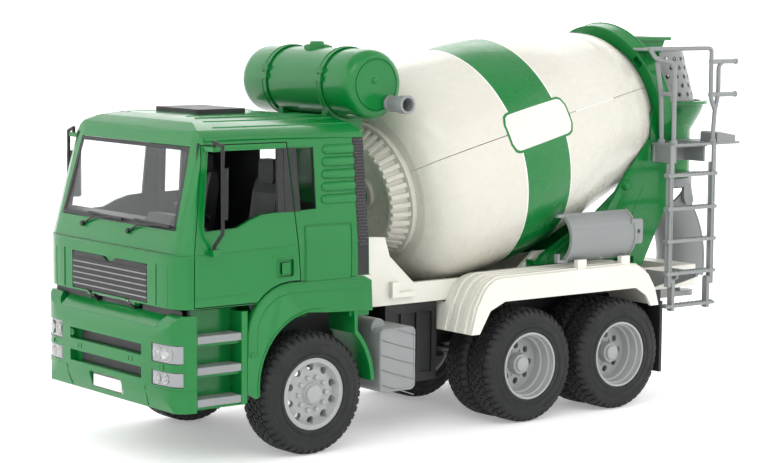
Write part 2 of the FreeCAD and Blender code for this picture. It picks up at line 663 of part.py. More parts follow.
# outer surface: (distance along the axis from the front bearing, radius)
DRUM_OUTER = [(46, 40.2), (46, 53), (48.6, 58.5), (53, 64.6), (60, 70.3), (68, 73.6), (82, 76.2), (100, 77),
              (130, 77), (148, 75.8), (166, 73.6), (188, 69.6), (210, 64.5), (246, 57.5), (254, 54.4),
              (259, 49.5), (260.5, 47.3), (274, 47.3)]
DRUM_MOUTH_R = 45.3


def inset_outline(outline, wall):
    """The drum's inner surface, one wall inside the outer one."""
    inner = []
    for (s0, r0), (s1, r1), (s2, r2) in zip(outline, outline[1:], outline[2:]):
        along, rise = s2 - s0, r2 - r0
        size = math.hypot(along, rise)
        inner.append((s1 + wall * rise / size, r1 - wall * along / size))
    return inner


def drum_half(turn):
    """Half of the drum: a shell revolved half a turn from the parting line."""
    inner = inset_outline(DRUM_OUTER[1:-2], DRUM_WALL)
    inner = [(48.0, 40.2), (48.0, 52.4)] + inner[1:-1] + [(258.4, DRUM_MOUTH_R), (274, DRUM_MOUTH_R)]
    outline = DRUM_OUTER + inner[::-1]
    face = Part.Face(Part.makePolygon([V(a, 0, r) for a, r in outline + outline[:1]]))
    face.rotate(V(0, 0, 0), V(1, 0, 0), 90 - SEAM_ANGLE + turn)
    half = face.revolve(V(0, 0, 0), V(1, 0, 0), 180)
    half.Placement = FreeCAD.Placement(DRUM_FOOT, FreeCAD.Rotation(V(1, 0, 0), DRUM_AXIS)).multiply(
        half.Placement)
    return half


save("drum_shell_lower", drum_half(0))
save("drum_shell_upper", drum_half(180))


def on_drum(shape):
    shape.Placement = FreeCAD.Placement(DRUM_FOOT, FreeCAD.Rotation(V(1, 0, 0), DRUM_AXIS)).multiply(
        shape.Placement)
    return shape


def ring_gear():
    """The toothed ring on the drum's front, with its bearing plate."""
    outline = [(35, PIN_R + 0.06), (35, 12), (37.5, 12), (37.5, 33.0), (31.6, 34.0), (31.6, 36.4),
               (42.2, 41.1), (42.2, 46.3), (46.0, 46.3), (46.0, 37.0), (40.5, 33.0), (40.5, PIN_R + 0.06)]
    face = Part.Face(Part.makePolygon([V(a, 0, r) for a, r in outline + outline[:1]]))
    ring = face.revolve(V(0, 0, 0), V(1, 0, 0), 360)
    tooth = side_plate([(31.6, 35.0), (31.6, 38.4), (42.3, 44.0), (42.3, 40.0)], (-1.6, 1.6))
    teeth = [tooth.rotated(V(0, 0, 0), V(1, 0, 0), 360.0 / GEAR_TEETH * i) for i in range(GEAR_TEETH)]
    return on_drum(ring.multiFuse(teeth).removeSplitter())


save("drum_ring_gear", ring_gear())


def mixing_blades():
    """Four flat blades, tilted by turns, that follow the inside of the drum."""
    outline = inset_outline(DRUM_OUTER[4:-4], DRUM_WALL + 0.05)
    outline = [(outline[0][0], 46)] + outline + [(outline[-1][0], 46)]
    face = Part.Face(Part.makePolygon([V(a, 0, r) for a, r in outline + outline[:1]]))
    room = face.revolve(V(0, 0, 0), V(1, 0, 0), 360)
    blades = []
    for station, tilt, side in ((95, 14, 1), (125, 14, -1), (155, 14, 1), (185, 14, -1)):
        slab = box((-0.8, 0.8), (-90, 90), (0, 90) if side > 0 else (-90, 0))
        slab.rotate(V(0, 0, 0), V(0, 0, 1), tilt)
        slab.translate(V(station, 0, 0))
        blades.append(on_drum(slab.common(room)))
    return blades


save("mixing_blades", mixing_blades())


def drum_point(along, up=0.0, side=0.0):
    """A point given along the drum's axis, square to it in the middle plane, and sideways."""
    square = V(-math.sin(DRUM_TILT), 0, math.cos(DRUM_TILT))
    return DRUM_FOOT + DRUM_AXIS * along + square * up + V(0, side, 0)


def front_stand():
    """The upright behind the cab: it carries the drum's front pin and the water tank."""
    outline = [(-34, 84), (34, 84), (34, 128), (22, 165), (27, 206), (-27, 206), (-22, 165), (-34, 128)]
    plate = cross_plate(outline, (50.0, 57.9))
    cradle = [box((46.5, 74.5), (y - 2.5, y + 2.5), (196, 214)) for y in (-24, 24)]
    boss = rod(drum_point(-3), drum_point(22), 17.0)
    collar = rod(drum_point(22), drum_point(34), 9.0)
    pin = rod(drum_point(30), drum_point(41.5), PIN_R)
    stand = joined([plate, boss, collar, pin] + cradle)
    bolts = []
    for i in range(8):
        t = math.radians(45 * i)
        up, side = 13.0 * math.cos(t), 13.0 * math.sin(t)
        bolts.append(rod(drum_point(21, up, side), drum_point(24, up, side), 1.5))
    stand = joined([stand] + bolts)
    return stand.cut(rod(V(TANK_C.x, -70, TANK_C.z), V(TANK_C.x, 70, TANK_C.z), TANK_R))


save("front_stand", front_stand())

# ---- water tank -------------------------------------------------------------------------
NOZZLE_C = V(71.0, 0, 214.5)
NOZZLE_BORE_R = 4.2


def water_tank():
    """A closed barrel with rolled ends."""
    end, r = TANK_HALF, TANK_R
    outer = [(-end, 0), (-end, 16.5), (-end + 1.6, 19.8), (-end + 5, r), (end - 5, r), (end - 1.6, 19.8),
             (end, 16.5), (end, 0)]
    barrel = turned(outer, V(TANK_C.x, 0, TANK_C.z), V(0, 1, 0))
    return barrel


def tank_nozzle():
    """The outlet at the tank's left end: a stepped spout with an open bore."""
    neck = rod(V(NOZZLE_C.x, -TANK_HALF + 3, NOZZLE_C.z), V(NOZZLE_C.x, -67, NOZZLE_C.z), 4.9)
    spout = rod(V(NOZZLE_C.x, -67, NOZZLE_C.z), V(NOZZLE_C.x, -79.5, NOZZLE_C.z), 5.9)
    nozzle = neck.fuse(spout).cut(water_tank())
    return nozzle.cut(rod(V(NOZZLE_C.x, -69.5, NOZZLE_C.z), V(NOZZLE_C.x, -81, NOZZLE_C.z), NOZZLE_BORE_R))


def tank_straps():
    straps = []
    for y in (-30.0, 30.0):
        ring = rod(V(TANK_C.x, y - 2, TANK_C.z), V(TANK_C.x, y + 2, TANK_C.z), TANK_R + 0.9)
        straps.append(ring.cut(rod(V(TANK_C.x, -70, TANK_C.z), V(TANK_C.x, 70, TANK_C.z), TANK_R)))
    return straps


save("water_tank", water_tank())
save("tank_nozzle", tank_nozzle())
save("tank_straps", tank_straps())
cap = rod(V(TANK_C.x, 3, TANK_C.z + 20), V(TANK_C.x, 3, 252.8), 8.0).cut(water_tank())
save("tank_filler_cap", cap)

# ---- rear stand, hopper and funnel ------------------------------------------------------


def rear_stand():
    """Two cheeks on the subframe that carry the ring round the drum's neck."""
    cheek = [(206, 101.2), (212, 108), (240, 122), (262, 134), (283, 149), (300, 164), (307, 178), (310, 196),
             (316, 206), (332, 206), (337.4, 180), (337.4, 154.5), (327.5, 132), (313.7, 108), (306, 94.2),
             (298, 94.2), (297.6, 101.2)]
    cheeks = both(side_plate(cheek, (-52, -48.4)))
    foot = both(box((206, 297.6), (-45.0, -41), (96.0, 104)))
    foot += both(box((206, 297.6), (-49, -41), (101.2, 104)))
    wall = box((288, 292), (-49, 49), (96.02, 124))
    outer = rod(drum_point(RING_STATIONS[0]), drum_point(RING_STATIONS[1]), RING_R[1])
    flange = both(side_plate([(257, 121), (262, 119), (308, 176), (308, 188), (304, 180)], (-54.5, -51)))
    knob = both(rod(V(286.5, -57, 152), V(286.5, -51, 152), 3.2))
    stand = joined(cheeks + foot + [wall, outer] + flange + knob)
    stand = stand.cut(rod(drum_point(255), drum_point(280), RING_R[0]))
    room = [(40, 0)] + [(s, r + 1.4) for s, r in DRUM_OUTER[1:-2]]
    room += [(RING_STATIONS[0] - 0.8, 50.9), (RING_STATIONS[0] - 0.8, 0)]
    face = Part.Face(Part.makePolygon([V(a, 0, r) for a, r in room + room[:1]]))
    stand = stand.cut(on_drum(face.revolve(V(0, 0, 0), V(1, 0, 0), 360)))
    slot = on_drum(box((255, 280), (-4, 4), (51, 56.5)))
    slots = [slot.rotated(DRUM_FOOT, DRUM_AXIS, angle) for angle in (-52, 52)]
    return stand.cut(Part.makeCompound(slots))


stand_shape = rear_stand()
save("rear_stand", stand_shape)


def rectangle(x, y, z):
    corners = [V(x[0], -y, z), V(x[1], -y, z), V(x[1], y, z), V(x[0], y, z)]
    return Part.makePolygon(corners + corners[:1])


def hopper():
    """The charging hopper: a tapered chute above the drum's mouth, open at both ends."""
    outer = Part.makeLoft([rectangle((317, 364), 14.0, 254), rectangle((328, 346), 12.0, 214)], True, True)
    inner = Part.makeLoft([rectangle((318.6, 362.4), 12.4, 254.01), rectangle((329.6, 344.4), 10.4, 213.99)],
                          True, True)
    lip = box((315, 367), (-16, 16), (251.6, 254)).cut(box((318.6, 362.4), (-12.4, 12.4), (250, 256)))
    shelf = both(box((316, 340), (-34, -13.6), (245.6, 247.0)))
    shape = joined([outer.cut(inner), lip.cut(inner)] + shelf)
    shape = shape.cut(rod(drum_point(250), drum_point(276), RING_R[0]))
    return shape.cut(rod(drum_point(250), drum_point(RING_STATIONS[1] + 0.02), RING_R[1] + 2))


save("hopper", hopper())

SPIGOT_R = 19.9
FUNNEL_RIM_R = 31.0


def funnel():
    """The discharge funnel behind the mouth, with a duct from the mouth and a round spigot."""
    wall = 1.8
    outline = [(143.2, 0), (143.2, SPIGOT_R), (151, SPIGOT_R), (151, 22), (186, 22), (198, 29),
               (203, FUNNEL_RIM_R), (205.8, FUNNEL_RIM_R), (205.8, 34), (207.4, 34), (207.4, 0)]
    inner = [(140, 0), (140, SPIGOT_R - wall), (152, SPIGOT_R - wall), (186.6, 22 - wall),
             (198.4, 29 - wall), (203, FUNNEL_RIM_R - wall), (210, FUNNEL_RIM_R - wall), (210, 0)]
    body = turned(outline, V(FUNNEL_X, 0, 0), V(0, 0, 1))
    core = turned(inner, V(FUNNEL_X, 0, 0), V(0, 0, 1))
    duct = Part.makeLoft([rectangle((341.5, 380), 24, 180), rectangle((358, 384), 12, 151.2)], True, True)
    room = Part.makeLoft([rectangle((343.3, 378), 22.2, 180.01), rectangle((360, 382), 10.4, 151.19)],
                         True, True)
    struts = both(box((346, 366), (-48.38, -13), (155, 158)))
    whole = joined([body, duct] + struts)
    return whole.cut(core).cut(room)


funnel_shape = funnel().cut(stand_shape)
funnel_shape = funnel_shape.cut(rod(drum_point(250), drum_point(276), 48.0))
save("discharge_funnel", funnel_shape)


def hopper_guard():
    """A leaning perforated fence round the hopper and a perforated strip beside its top."""
    centre = V(366, 0, 0)
    strip = [(207.5, 28.6), (207.5, 30.0), (243, 21.0), (243, 19.6)]
    face = Part.Face(Part.makePolygon([V(r, 0, z) for z, r in strip + strip[:1]]))
    fence = face.revolve(V(0, 0, 0), V(0, 0, 1), 250).rotated(V(0, 0, 0), V(0, 0, 1), -125)
    holes = []
    for row in range(5):
        z = 212.5 + 6.4 * row
        for i in range(13):
            turn = math.radians(-112 + 18.4 * i + 9.2 * (row % 2))
            out = V(math.cos(turn), math.sin(turn), 0)
            holes.append(rod(V(0, 0, z) + out * 15, V(0, 0, z) + out * 34, 1.7))
    fence = fence.cut(Part.makeCompound(holes))
    fence.translate(centre)
    walk = box((303, 342), (-56.4, -36), (245.6, 247.2))
    pits = [rod(V(306 + 5.4 * i, y, 240), V(306 + 5.4 * i, y, 250), 1.5) for i in range(7)
            for y in (-52, -46.5, -41)]
    walk = walk.cut(Part.makeCompound(pits)).cut(rod(drum_point(250), drum_point(274), RING_R[1] + 2))
    bridge = box((332, 340), (-36.5, -34), (245.6, 247.0))
    return [fence, joined([walk, bridge])]


save("hopper_guard", hopper_guard())


def platform():
    """The standing platform with its hollow skirt and the raised toe box at the back."""
    z = PLATFORM_Z
    deck = plan_plate([(313, -52), (309.6, -77), (376.6, -77), (376.6, -44), (352, -38), (341, -38),
                       (341, -52)], (z - 1.6, z))
    skirt = plan_plate([(314, -52.02), (311, -74), (346.5, -74), (346.5, -52.02)], (z - 13.5, z - 1))
    skirt = skirt.cut(box((313.5, 344.9), (-72.4, -53.6), (z - 15, z - 1.6)))
    skirt = skirt.cut(box((316, 350), (-80, -72), (z - 15, z - 2.6)))
    toe = side_plate([(354, z - 0.5), (354, z + 6.4), (356, z + 7.4), (372.5, z + 4.6), (372.5, z - 0.5)],
                     (-76.5, -60))
    ribs = [box((x, x + 1), (-76.6, -53), (z - 0.2, z + 0.5)) for x in (318, 323, 328, 333, 338, 343)]
    arm = box((341, 346.5), (-53, -48.38), (z - 12, z - 1))
    root = box((337.42, 346.5), (-52, -48.38), (z - 12, z - 1))
    return joined([deck, skirt, toe, arm, root] + ribs)


save("platform", platform().cut(stand_shape))


def handrails():
    """The tube railings round the platform, with two short grab rods at the back."""
    z, y, r = PLATFORM_Z, -75.2, RAIL_R
    front = pipe([V(311.6, y, z), V(311.0, y, 237.5), V(306, -62, 239.5), V(304, -58, 246.6)], r)
    middle = pipe([V(311.4, y, 215.5), V(313.5, -60, 215.5)], r)
    inner = pipe([V(315.0, -60, z), V(313.5, -60, 215.5), V(308, -61, 238.0)], r)
    top = pipe([V(304, -58, 246.6), V(341, y, 247.4), V(347.4, y, 247.2), V(347.6, y, 212),
                V(352, y, 204)], r)
    back = pipe([V(350.3, y, z), V(352, y, 204), V(355.2, y, 215), V(354.9, y, 234.6), V(358.6, y, 238),
                 V(372.6, y, 238)], r)
    rods = [rod(V(347.5, y, h), V(372.6, y, h), r + 0.1) for h in (238.0, 214.8)]
    cutter = box((300, 380), (-80, -50), (z - 9, z))
    return joined([front, middle, inner, top, back] + rods).cut(cutter)


save("handrails", handrails())
RAIL_W = 3.4
RUNG_T = 2.0
FOLD_Z = 84.5
FOLD_Y = -76.5
FOLD_PIN_R = 1.0


def rung(x, z):
    """A tread with a row of teeth along its top."""
    tread = box(x, LADDER_Y, (z - RUNG_T / 2, z + RUNG_T / 2))
    tooth = side_plate([(-0.9, 0), (0, 1.0), (0.9, 0)], LADDER_Y)
    teeth = []
    for i in range(12):
        piece = tooth.copy()
        piece.translate(V(x[0] + (x[1] - x[0]) * (i + 0.5) / 12, 0, z + RUNG_T / 2 - 0.1))
        teeth.append(piece)
    return tread.multiFuse(teeth)


def ladder_upper():
    """The fixed ladder: two rails from the platform down, four treads and its foot brackets."""
    pieces = []
    for x in LADDER_X:
        pieces.append(box((x - RAIL_W / 2, x + RAIL_W / 2), LADDER_Y, (81.0, PLATFORM_Z - 13.52)))
    pieces.append(box((LADDER_X[0] - RAIL_W / 2, LADDER_X[0] + 4), (-79.0, -77.02), (160, PLATFORM_Z - 0.5)))
    pieces.append(box((LADDER_X[1] - RAIL_W / 2, LADDER_X[1] + RAIL_W / 2), (-79.0, -77.02),
                      (160, PLATFORM_Z - 0.5)))
    for z in RUNG_Z:
        pieces.append(rung((LADDER_X[0] - 3.4, LADDER_X[1] + 3.4), z))
    for x in (318.5, 338.5):
        pieces.append(cross_plate([(-75, 89.5), (-75, 86.0), (-49, 76.0), (-45.02, 76.0), (-45.02, 89.5)],
                                  (x - 1.2, x + 1.2)))
    for x, turn in ((LADDER_X[0], 1), (LADDER_X[1], -1)):
        start = V(x + turn * RAIL_W / 2, FOLD_Y, FOLD_Z)
        pieces.append(rod(start - V(turn, 0, 0), start + V(turn * 3.2, 0, 0), FOLD_PIN_R))
    return joined(pieces)


save("ladder_upper", ladder_upper())


def ladder_lower():
    """The folding foot of the ladder, hung on two pins between the rails."""
    pieces = []
    for x, turn in ((LADDER_X[0], 1), (LADDER_X[1], -1)):
        inner = x + turn * (RAIL_W / 2 + 0.3)
        outer = inner + turn * 2.8
        low, high = min(inner, outer), max(inner, outer)
        bar = box((low, high), (LADDER_Y[0] + 0.2, LADDER_Y[1] - 0.2), (LOW_RUNG_Z - 3.2, FOLD_Z))
        knuckle = rod(V(low, FOLD_Y, FOLD_Z), V(high, FOLD_Y, FOLD_Z), 2.3)
        pieces += [bar, knuckle]
    pieces.append(rung((LADDER_X[0] - 3.4, LADDER_X[1] + 3.4), LOW_RUNG_Z))
    whole = joined(pieces)
    return whole.cut(rod(V(290, FOLD_Y, FOLD_Z), V(370, FOLD_Y, FOLD_Z), FOLD_PIN_R + 0.06))


save("ladder_lower", ladder_lower())

# ---- discharge chute --------------------------------------------------------------------
TILT_X = 382.0
TILT_Z = 134.0
TILT_PIN_R = 1.6
SWIVEL_Z = (144.4, 150.6)


def chute_swivel():
    """The collar that turns round the funnel's spigot, with two ears for the chute's pins."""
    collar = rod(V(FUNNEL_X, 0, SWIVEL_Z[0]), V(FUNNEL_X, 0, SWIVEL_Z[1]), 24.0)
    ears = both(side_plate([(376, 146), (376, 137), (378.4, 131.4), (384.5, 130.6), (386.2, 134), (383, 146)],
                           (-24.0, -21.4)))
    collar = joined([collar] + ears)
    collar = collar.cut(rod(V(FUNNEL_X, 0, 120), V(FUNNEL_X, 0, 160), SPIGOT_R + 0.08))
    return collar.cut(rod(V(TILT_X, -40, TILT_Z), V(TILT_X, 40, TILT_Z), TILT_PIN_R + 0.06))


save("chute_swivel", chute_swivel())


def chute():
    """A curved half-round channel that hangs from two pins and pours down behind the truck."""
    outer, wall = CHUTE_R, 1.7
    cx, cz = CHUTE_C
    first = [(CHUTE_BEND_R - outer * math.cos(math.radians(a)), outer * math.sin(math.radians(a)))
             for a in range(-90, 91, 15)]
    second = [(CHUTE_BEND_R - (outer - wall) * math.cos(math.radians(a)),
               (outer - wall) * math.sin(math.radians(a))) for a in range(90, -91, -15)]
    points = [V(cx + x, y, cz) for x, y in first + second]
    face = Part.Face(Part.makePolygon(points + points[:1]))
    face.rotate(V(cx, 0, cz), V(0, 1, 0), 9)
    body = face.revolve(V(cx, 0, cz), V(0, 1, 0), -57)
    edge_face = Part.makePlane(2.4, 2.0, V(cx + CHUTE_BEND_R - 1.2, -outer - 0.3, cz), V(0, 0, 1))
    edge_face.rotate(V(cx, 0, cz), V(0, 1, 0), 9)
    edge = edge_face.revolve(V(cx, 0, cz), V(0, 1, 0), -57)
    pins = both(rod(V(TILT_X, -outer + 1, TILT_Z), V(TILT_X, -24.0, TILT_Z), TILT_PIN_R))
    lugs = both(rod(V(TILT_X, -outer + 1.6, TILT_Z), V(TILT_X, -outer - 0.5, TILT_Z), 3.0))
    return joined([body] + both(edge) + pins + lugs)


chute_shape = chute()
save("chute", chute_shape)


def extension_chute():
    """The spare length of chute, carried on its side on the left fender."""
    y, z, r, wall = -61.0, 120.6, 18.0, 1.6
    rim_y = y - r * math.cos(math.radians(65))
    rise = r * math.sin(math.radians(65))
    ring = rod(V(212.5, y, z), V(273.5, y, z), r)
    ends = [rod(V(x, y, z), V(x + 2.4, y, z), r) for x in (212.5, 271.1)]
    body = joined([ring] + ends).cut(rod(V(200, y, z), V(290, y, z), r - wall))
    body = body.cut(box((200, 290), (rim_y, rim_y + 40), (z - 30, z + 30)))
    hook = box((208, 216), (rim_y - 3.2, rim_y), (z - rise, z - rise + 1.8))
    hook = hook.fuse(box((207, 209), (rim_y - 3.2, rim_y), (z - rise, z - rise + 6.0)))
    clip = box((207.5, 214), (rim_y - 3.2, rim_y), (z + rise - 2.0, z + rise))
    lug = side_plate([(270, 114), (279.6, 114), (280.6, 116), (280.6, 129), (279.6, 131), (270, 131)],
                     (y - r + 1.0, y - r + 3.0))
    lug = lug.cut(rod(V(276.6, -90, 122.5), V(276.6, -60, 122.5), 1.5))
    return joined([body, hook, clip, lug])


save("extension_chute", extension_chute())

# ---- tow hitch --------------------------------------------------------------------------
HITCH_PIN_R = 2.0


def tow_hitch():
    """A jaw with an upright pin, bolted under the subframe's rear beam."""
    end = REAR_END - 8
    jaw = box((352, end), (-7, 7), (60, 73.98)).fuse(rod(V(end, 0, 60), V(end, 0, 73.98), 8.0))
    jaw = jaw.cut(box((384, REAR_END + 5), (-20, 20), (64, 70)))
    pin = rod(V(396, 0, 63), V(396, 0, 71), HITCH_PIN_R)
    return joined([jaw, pin])


save("tow_hitch", tow_hitch())
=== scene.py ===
"""The toy cement mixer's finished look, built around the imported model."""

import json
from math import cos, exp, hypot, pi, radians, sin, sqrt

import bmesh
import bpy
from mathutils import Matrix, Quaternion, Vector


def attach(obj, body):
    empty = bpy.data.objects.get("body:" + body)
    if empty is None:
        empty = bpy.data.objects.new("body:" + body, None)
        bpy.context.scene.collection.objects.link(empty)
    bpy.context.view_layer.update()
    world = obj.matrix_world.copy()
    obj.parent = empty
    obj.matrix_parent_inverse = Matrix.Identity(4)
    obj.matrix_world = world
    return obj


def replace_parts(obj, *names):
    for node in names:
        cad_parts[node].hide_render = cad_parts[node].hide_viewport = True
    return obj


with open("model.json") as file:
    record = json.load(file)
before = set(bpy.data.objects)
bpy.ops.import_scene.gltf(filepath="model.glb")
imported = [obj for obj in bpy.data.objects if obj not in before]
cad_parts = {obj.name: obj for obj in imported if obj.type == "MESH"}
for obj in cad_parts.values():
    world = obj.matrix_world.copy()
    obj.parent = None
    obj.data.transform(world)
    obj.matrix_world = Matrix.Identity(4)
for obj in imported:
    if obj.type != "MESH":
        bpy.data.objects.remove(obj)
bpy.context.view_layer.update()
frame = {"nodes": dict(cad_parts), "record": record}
NODES = frame["nodes"]
BODY_OF = {n: body for body, names in frame["record"]["behaviour"]["bodies"].items() for n in names}
SLOT_OF = {s["node"]: s["material_slot"] for s in frame["record"]["subparts"]}

AXLE_X = -0.1533               # the front axle, in the frame
DRUM_TILT = radians(13.43)
DRUM_FOOT = Vector((AXLE_X + 0.060, 0, 0.1439))
DRUM_AXIS = Vector((cos(DRUM_TILT), 0, sin(DRUM_TILT)))
BAND_MIDDLE, BAND_HALF, BAND_EDGE = 0.1367, 0.0205, 0.0213     # the drum's green band and its pale lines


def at(x, y, z):
    """A point given in millimetres, with x counted backwards from the front axle."""
    return Vector((AXLE_X + x / 1000, y / 1000, z / 1000))


# ---- materials --------------------------------------------------------------------------
class Shader:
    """A small builder for node materials."""

    def __init__(self, name, rough, metallic=0.0, coat=0.0, ior=1.5):
        self.mat = bpy.data.materials.new(name)
        self.mat.use_nodes = True
        self.tree = self.mat.node_tree
        self.bsdf = self.tree.nodes["Principled BSDF"]
        for key, value in (("Roughness", rough), ("Metallic", metallic), ("Coat Weight", coat),
                           ("Coat Roughness", 0.05), ("IOR", ior), ("Specular IOR Level", 0.36)):
            self.bsdf.inputs[key].default_value = value
        self.where = self.node("ShaderNodeTexCoord").outputs["Object"]

    def node(self, kind, **settings):
        made = self.tree.nodes.new(kind)
        for key, value in settings.items():
            setattr(made, key, value)
        return made

    def link(self, source, target):
        self.tree.links.new(source, target)

    def put(self, value, target):
        """Feeds an input from another node, or sets it to a number or a colour."""
        if isinstance(value, bpy.types.NodeSocket):
            self.link(value, target)
        else:
            target.default_value = (*value, 1) if isinstance(value, tuple) else value

    def noise(self, size, detail=3.0, rough=0.55, stretch=(1, 1, 1)):
        """Noise with features of that size in metres."""
        vector = self.where
        if stretch != (1, 1, 1):
            scale = self.node("ShaderNodeVectorMath", operation="MULTIPLY")
            scale.inputs[1].default_value = stretch
            self.link(vector, scale.inputs[0])
            vector = scale.outputs[0]
        made = self.node("ShaderNodeTexNoise")
        made.inputs["Scale"].default_value = 1 / size
        made.inputs["Detail"].default_value = detail
        made.inputs["Roughness"].default_value = rough
        self.link(vector, made.inputs["Vector"])
        return made.outputs["Fac"]

    def ramp(self, value, low, high, out_low=0.0, out_high=1.0):
        made = self.node("ShaderNodeMapRange")
        self.put(value, made.inputs["Value"])
        for key, number in (("From Min", low), ("From Max", high), ("To Min", out_low), ("To Max", out_high)):
            made.inputs[key].default_value = number
        return made.outputs[0]

    def math(self, operation, a, b=0.0):
        made = self.node("ShaderNodeMath", operation=operation)
        self.put(a, made.inputs[0])
        self.put(b, made.inputs[1])
        return made.outputs[0]

    def mix(self, factor, a, b):
        made = self.node("ShaderNodeMix", data_type="RGBA")
        for value, number in ((factor, 0), (a, 6), (b, 7)):
            self.put(value, made.inputs[number])
        return made.outputs[2]

    def cloud(self, size, detail=4):
        """Soft clouds from 0 to 1."""
        return self.ramp(self.noise(size, detail), 0.35, 0.65)

    def patches(self, size, low, high):
        """Soft patches between two values."""
        return self.ramp(self.noise(size, 4), 0.3, 0.7, low, high)

    def colour(self, value):
        self.put(value, self.bsdf.inputs["Base Color"])

    def rough(self, value):
        self.put(value, self.bsdf.inputs["Roughness"])

    def bump(self, height, depth):
        """Bump of that depth in metres, on top of any earlier bump."""
        made = self.node("ShaderNodeBump")
        made.inputs["Strength"].default_value = 1.0
        made.inputs["Distance"].default_value = depth
        self.put(height, made.inputs["Height"])
        before = self.bsdf.inputs["Normal"].links
        if before:
            self.link(before[0].from_socket, made.inputs["Normal"])
        self.link(made.outputs[0], self.bsdf.inputs["Normal"])


def srgb(r, g, b):
    """A colour given in 0-255 screen values, as the renderer wants it."""
    return tuple((c / 255 / 12.92) if c / 255 <= 0.04045 else ((c / 255 + 0.055) / 1.055) ** 2.4
                 for c in (r, g, b))


def shaded(base, factor):
    return tuple(c * factor for c in base)


def plastic(name, base, rough, coat=0.0, grain=0.0008, grain_depth=0.00002, shade=0.95):
    """Moulded plastic: faint clouding, a grain, hairline scuffs and a painted highlight that makes sharp edges
    paler.
    """
    shader = Shader(name, rough, coat=coat)
    tint = shader.mix(shader.cloud(0.045), shaded(base, shade), base)
    scratch = shader.ramp(shader.noise(0.006, 5, 0.7, (1, 1, 7)), 0.66, 0.72)
    # Painted highlight: sharp convex edges are mixed toward a paler copy of the colour.
    edge = shader.ramp(shader.node("ShaderNodeNewGeometry").outputs["Pointiness"], 0.53, 0.60)
    edge_highlight = tuple(min(1.0, c * 1.25 + 0.04) for c in base)
    shader.colour(shader.mix(shader.math("MULTIPLY", edge, 0.18), tint, edge_highlight))
    patchy = shader.patches(0.012, rough - 0.04, rough + 0.05)
    shader.rough(shader.math("ADD", patchy, shader.math("MULTIPLY", scratch, 0.12)))
    shader.bump(scratch, -0.02 / 1000)
    shader.bump(shader.noise(grain, 3), grain_depth)
    return shader.mat


GREEN_RGB = srgb(0, 112, 46)
IVORY_RGB = srgb(206, 203, 192)
GREEN = plastic("green_plastic", GREEN_RGB, 0.20, coat=0.12, grain_depth=0.000008)
WHITE = plastic("white_plastic", srgb(222, 220, 210), 0.38, coat=0.1)
BLACK = plastic("black_plastic", srgb(28, 29, 30), 0.42, shade=0.8)
# Painted shade: a dark plastic for the cab panels' inward faces and the gap behind the doors.
INSIDE_SHADE = plastic("painted_inside_shade", srgb(30, 31, 33), 0.55, grain=0.0012, grain_depth=0.00001, shade=0.8)
GREY = plastic("grey_plastic", srgb(132, 135, 135), 0.36, grain_depth=0.00002)
STUD = plastic("stud_grey", srgb(78, 75, 78), 0.35)
SILVER = plastic("rim_silver", srgb(158, 160, 159), 0.34, grain_depth=0.00002)


def drum_material():
    """Ivory with a green band round it, edged with thin pale lines."""
    shader = Shader("drum_ivory", 0.3, coat=0.2)
    offset = shader.node("ShaderNodeVectorMath", operation="SUBTRACT")
    shader.link(shader.where, offset.inputs[0])
    offset.inputs[1].default_value = DRUM_FOOT
    along = shader.node("ShaderNodeVectorMath", operation="DOT_PRODUCT")
    shader.link(offset.outputs[0], along.inputs[0])
    along.inputs[1].default_value = DRUM_AXIS
    distance = shader.math("ABSOLUTE", shader.math("SUBTRACT", along.outputs["Value"], BAND_MIDDLE))
    ragged = shader.ramp(shader.noise(0.0015, 2), 0.3, 0.7, -0.00004, 0.00004)
    distance = shader.math("ADD", distance, ragged)
    band = shader.math("LESS_THAN", distance, BAND_HALF)
    cloud = shader.cloud(0.05)
    ivory = shader.mix(cloud, shaded(IVORY_RGB, 0.97), IVORY_RGB)
    green = shader.mix(cloud, shaded(GREEN_RGB, 0.94), GREEN_RGB)
    line = shader.math("LESS_THAN", distance, BAND_EDGE)
    shader.colour(shader.mix(band, shader.mix(line, ivory, srgb(238, 238, 232)), green))
    shader.rough(shader.patches(0.012, 0.22, 0.34))
    shader.bump(band, 0.00006)
    shader.bump(shader.noise(0.0009, 3), 0.000015)
    return shader.mat


def rubber_material():
    shader = Shader("tyre_rubber", 0.62, ior=1.45)
    base = srgb(34, 35, 36)
    cloud = shader.cloud(0.02, 5)
    dust = shader.ramp(shader.noise(0.004, 5, 0.65), 0.55, 0.75, 0, 0.25)
    shader.colour(shader.mix(dust, shader.mix(cloud, shaded(base, 0.7), base), srgb(74, 73, 70)))
    shader.rough(shader.patches(0.008, 0.52, 0.72))
    shader.bump(shader.noise(0.0007, 4), 0.00008)
    return shader.mat


def steel_material():
    shader = Shader("drawn_steel", 0.3, metallic=1.0)
    line = shader.noise(0.0008, 3, 0.6, (1, 0.04, 1))
    shader.colour(shader.mix(line, srgb(150, 150, 150), srgb(196, 196, 194)))
    shader.rough(shader.ramp(line, 0.3, 0.7, 0.22, 0.38))
    shader.bump(line, 0.00001)
    return shader.mat


def glazing_material():
    """Clear moulded plastic with faint flow marks."""
    shader = Shader("clear_glazing", 0.02, ior=1.3)
    tint = srgb(236, 242, 242)
    shader.bsdf.inputs["Transmission Weight"].default_value = 1.0
    flow = shader.ramp(shader.noise(0.03, 3), 0.3, 0.7)
    shader.colour(shader.mix(flow, tint, tuple(min(1, c * 1.04) for c in tint)))
    shader.bump(shader.noise(0.05, 1), 0.000004)
    return shader.mat


LOOK = {"green_plastic": GREEN, "white_plastic": WHITE, "black_plastic": BLACK, "grey_plastic": GREY,
        "rim_silver": SILVER, "drum_white": drum_material(), "tyre": rubber_material(),
        "steel": steel_material(), "clear_glazing": glazing_material(),
        "plate_white": plastic("plate_white", srgb(236, 236, 232), 0.3),
        "lamp_clear": plastic("lamp_silver", srgb(140, 143, 145), 0.16, coat=0.8)}


# ---- pieces -----------------------------------------------------------------------------
# Cab panels whose inward faces get painted shade.
SHADED_PANELS = {"cab_shell", "door_left", "door_right"}
CAB_MIDDLE = at(-28, 0, 150)


